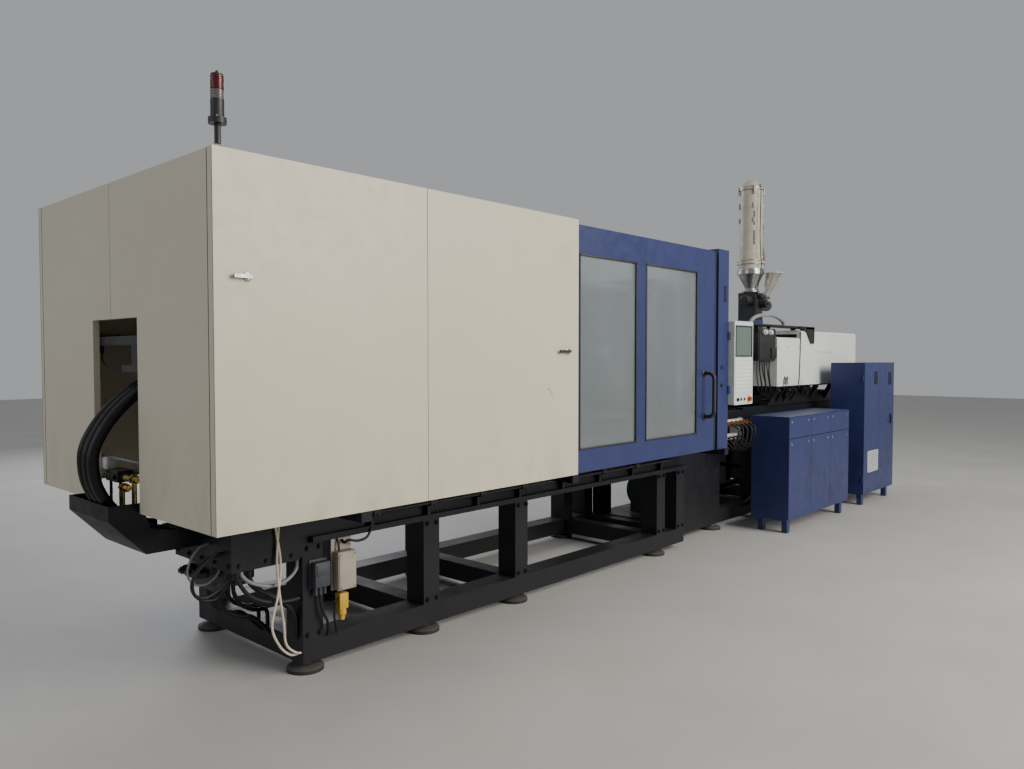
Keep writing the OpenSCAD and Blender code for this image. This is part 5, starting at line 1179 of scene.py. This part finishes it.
# %% Black skin of the shelf
skin = bmesh.new()
block(skin, (5668, -502, 1903), (7122, -328, 1921), 1.2)
block(skin, (6768, -522, 1893), (7122, -496, 1921), 1.2)
plate(skin, [(6893, -522, 1912), (7122, -522, 1912), (7122, -522, 1741), (7056, -522, 1741)], (0, 19, 0))
for x in (6830, 7080):
    block(skin, (x - 2, -422, 1884), (x + 32, -378, 1906), 1)
for x in range(5740, 7100, 220):
    socket_screw(skin, (x, -415, 1921), "z", 8)
make("shelf_coat", "carriage", black_enamel, skin)

# %% [markdown]
# ## Fittings of the platens
# A platen is lifted by eye bolts in its top edge, and these stay in it for the next service. The
# fixed platen also shows the bolts round the seat of the nozzle. An eye bolt is a forged ring on a
# collar: the ring is a closed tube, the collar is turned.

# %% Eye bolts and platen bolts
def eye_bolt(mesh, x, y, z):
    """A lifting eye that stands on a face."""
    turned(mesh, (x, y, z), "z", [(-1, 40), (10, 40), (14, 34), (18, 24), (34, 16)], 28)
    loop = [(x, y + 36 * cos(radians(a)), z + 62 + 36 * sin(radians(a))) for a in range(0, 361, 15)]
    tube(mesh, loop, 20, 12)


for body, x in (("frame", 4040), ("moving", 2200), ("tail", 1250)):
    eyes = bmesh.new()
    for y in (-260, 260):
        eye_bolt(eyes, x, y, 2220)
    make(f"{body}_eye_bolts", body, zinc_plate, eyes)
platen_bolts = bmesh.new()
for dy, dz in ring(330, 12, 15):
    socket_screw(platen_bolts, (4180, dy, 1640 + dz), "x", 20)
for y, z in grid((-450, 450), (1190, 2090)):
    for dy, dz in ring(112, 8, 22.5):
        socket_screw(platen_bolts, (4180, y + dy, z + dz), "x", 12)
make("platen_bolts", "frame", black_enamel, platen_bolts)

# %% [markdown]
# ## Safety switches of the gates
# A gate may only be open while the mould stands still, so roller switches sit on the rail above each
# gate. Each is a small yellow box with a cable. The cable goes along the rail into the post.

# %% Gate switches
for name, sign in (("front", -1), ("rear", 1)):
    switches = bmesh.new()
    for x in (2520, 3960):
        block(switches, (x, sign * 890, 2326), (x + 70, sign * 850, 2396), 3)
        turned(switches, (x + 35, sign * 870, 2396), "z", [(-1, 12), (12, 12), (14, 8), (22, 8)], 16)
    make(f"{name}_gate_switches", "frame", yellow_abs, switches)
    cord(f"{name}_switch_cable", "frame", black_sheath, [(2555, sign * 870, 2322),
         (2556, sign * 869, 2300), (2600, sign * 868, 2276), (2900, sign * 868, 2262),
         (3300, sign * 868, 2258), (3700, sign * 868, 2264), (3950, sign * 868, 2280),
         (4080, sign * 870, 2296), (4160, sign * 880, 2330)], 9, sides=8)

# %% [markdown]
# ## Oil tank and pump
# The oil tank fills the end of the injection base. It has round cleaning covers with a ring of
# bolts, a filler cap with a strainer, a level glass, and a return filter. The suction hose goes from
# the tank to the pump, and the return hose from the base into the tank. Both are thick and stiff.

# %% Tank fittings and pump hoses
tank = bmesh.new()
for x in (7100, 7880):
    turned(tank, (x, 280, 560), "y", [(-1, 150), (10, 150), (14, 144)], 48)
    for dx, dz in ring(128, 12, 0):
        hexagon(tank, (x + dx, 293, 560 + dz), "y", 19, 9)
    turned(tank, (x, -280, 560), (0, -1, 0), [(-1, 150), (10, 150), (14, 144)], 48)
make("tank_covers", "frame", base_enamel_with_painted_shade, tank)
tank_gear = bmesh.new()
block(tank_gear, (6744, 180, 560), (6729, 220, 830), 3)
for z in (575, 815):
    hexagon(tank_gear, (6730, 200, z), (-1, 0, 0), 22, 12)
turned(tank_gear, (6731, -150, 380), (-1, 0, 0), [(-1, 52), (14, 52), (15, 38), (40, 38), (42, 42),
       (60, 42)], 28)
turned(tank_gear, (6731, 60, 400), (-1, 0, 0), [(-1, 44), (14, 44), (15, 30), (40, 30), (42, 34),
       (56, 34)], 28)
make("tank_fittings", "frame", zinc_plate, tank_gear)
gauge = bmesh.new()
block(gauge, (6728, 190, 590), (6724, 210, 800), 1.5)
make("level_glass", "frame", clear_lens, gauge)
cord("suction_line", "frame", hose_rubber, [(6728, -150, 380), (6660, -150, 380), (6500, -150, 372),
     (6200, -150, 340), (5900, -146, 310), (5600, -120, 300), (5380, -70, 318), (5240, -20, 350),
     (5160, 0, 372), (5106, 0, 380)], 64, sides=20)
cord("return_line", "frame", hose_rubber, [(6728, 60, 400), (6660, 60, 400), (6480, 70, 420),
     (6200, 110, 470), (5960, 170, 560), (5800, 220, 680), (5720, 240, 800), (5700, 244, 896),
     (5700, 290, 960)], 44, sides=18)
pump_ends = bmesh.new()
turned(pump_ends, (5104, 0, 380), "x", [(-2, 52), (10, 52), (11, 40), (34, 40), (36, 34)], 24)
for dy, dz in ring(45, 4, 45):
    hexagon(pump_ends, (5113, dy, 380 + dz), "x", 13, 8)
make("pump_flange", "frame", zinc_plate, pump_ends)

# %% [markdown]
# ## The injection end
# The rear cover is lifted off by two bow handles and has louvres for the heat of the screw motor.
# The rear side has the same handles. Cables run from the cabinets to the base in low bows.

# %% Handles, louvres and cabinet cables
def bow_handle(mesh, a, b, out):
    """A bent rod handle between two feet, standing off a face."""
    a, b, out = Vector(a), Vector(b), Vector(out)
    along = (b - a).normalized()
    path = [a, a + out * 0.7, a + out + along * 10, a + out + along * 24, b + out - along * 24,
            b + out - along * 10, b + out * 0.7, b]
    tube(mesh, smooth([tuple(p) for p in path], 4), 12, 12)
    for foot in (a, b):
        turned(mesh, tuple(foot), tuple(out.normalized()), [(-0.5, 13), (3, 13), (5, 10)], 18)


bows = bmesh.new()
for y in (-330, 330):
    bow_handle(bows, (8415, y, 1560), (8415, y, 1720), (42, 0, 0))
for x in (6420, 7100, 8000):
    bow_handle(bows, (x, HOOD_FACE, 1480), (x + 180, HOOD_FACE, 1480), (0, 42, 0))
make("cover_handles", "carriage", black_nylon, bows)
fins = bmesh.new()
for y0 in (-230, 30):
    for k in range(9):
        z = 1400 + 24 * k
        plate(fins, [(8414.5, y0, z + 11), (8422, y0, z), (8422, y0, z + 3), (8414.5, y0, z + 14)],
              (0, 200, 0))
for x0 in (7300, 7640):
    for k in range(9):
        z = 1400 + 24 * k
        plate(fins, [(x0, 499.5, z + 11), (x0, 507, z), (x0, 507, z + 3), (x0, 499.5, z + 14)],
              (260, 0, 0))
make("cover_louvres", "carriage", pale_coat, fins)
CABLE_OUTLETS = ((5760, 420, 300), (5830, 420, 286), (6560, 500, 330),
                 (7560, 520, 300), (7640, 520, 280), (7720, 520, 315))
for number, (x, z, low) in enumerate(CABLE_OUTLETS):
    cord(f"cabinet_cable_{number + 1}", "frame", black_sheath, [(x, -CABINET_BACK, z), (x, -612, z - 2),
         (x + 2, -580, z - 50), (x + 4, -540, low), (x + 2, -500, low - 20), (x, -452, low - 90),
         (x, -424, 190), (x, -400, 150)], 24 if number % 3 else 30, sides=14)
glands = bmesh.new()
for x, z, low in CABLE_OUTLETS:
    turned(glands, (x, -CABINET_BACK, z), "y", [(-0.5, 24), (10, 24), (11, 19), (26, 19)], 6)
make("cabinet_glands", "frame", black_nylon, glands)

# %% [markdown]
# ## Oil gear under the injection covers
# Between the webs below the covers sit the small valves that feed the carriage cylinders. Each is a
# block with a round solenoid at each side. A row of them is one mesh, on the carriage.

# %% Valves below the covers
valves = bmesh.new()
for x in (6300, 6560, 6690, 6960, 7090):
    block(valves, (x, -470, 1222), (x + 62, -408, 1287), 3)
    turned(valves, (x + 31, -470, 1254), (0, -1, 0), [(-1, 22), (16, 22), (18, 18), (24, 18)], 20)
    turned(valves, (x + 31, -440, 1222), (0, 0, -1), [(-1, 14), (26, 14), (28, 9), (40, 9)], 6)
make("carriage_valves", "carriage", black_enamel, valves)

# %% [markdown]
# ## The grille of the blue post
# The small slots at the top of the post let out the warm air of its relays. They are punched, which
# leaves a raised lip above and below each slot. The lips are low bars, one pair for each slot.

# %% Lips of the grille
SLOT_PITCH = 16
grille = bmesh.new()
for x in (4262, 4286):
    for k in range(8):
        z = 2035 + SLOT_PITCH * k
        block(grille, (x - 1.5, -951.2, z - 3), (x + 15.5, -949, z - 0.4), 0.4)
        block(grille, (x - 1.5, -951.2, z + 8.4), (x + 15.5, -949, z + 11), 0.4)
make("grille_bars", "frame", black_nylon, grille)

# %% [markdown]
# ## Hydraulic gear at the clamp end
# The closed block at the end of the base carries a valve plate with bolted covers, and a dark valve
# block hangs below it. Fittings on the block feed short hoses that go back into the base.

# %% Valve block and its hoses
valve_block = bmesh.new()
block(valve_block, (330, -300, 478), (560, -60, 591), 4)
block(valve_block, (352, -286, 440), (420, -74, 480), 4)
block(valve_block, (460, -286, 448), (530, -74, 480), 4)
for y in (-250, -180, -110):
    turned(valve_block, (330, y, 536), (-1, 0, 0), [(-1, 24), (46, 24), (50, 20), (62, 20), (63, 12),
           (74, 12)], 20)
make("end_valve_block", "frame", black_enamel, valve_block)
block_trim = bmesh.new()
for y in (-520, -390, -260, -130, -10):
    for z in (620, 860):
        hexagon(block_trim, (300, y, z), (-1, 0, 0), 19, 9)
for x in (340, 480, 620):
    for z in (620, 860):
        hexagon(block_trim, (x, -BASE_FACE, z), (0, -1, 0), 19, 9)
for x in (376, 500):
    hexagon(block_trim, (x, -300, 536), (0, -1, 0), 32, 18)
make("end_block_bolts", "frame", base_enamel_with_painted_shade, block_trim)
for number, (x, y) in enumerate(((386, -250), (386, -150), (494, -200), (494, -110))):
    lead(f"valve_hose_{number + 1}", "frame", hose_rubber, [(x, y, 586), (x, y, 470), (x, y, 430),
         (x + 6, y - 6, 380), (x + 40, y - 12, 322), (x + 110, y - 16, 282), (x + 180, y - 16, 262),
         (679, y - 14, 150)], 22, 14)
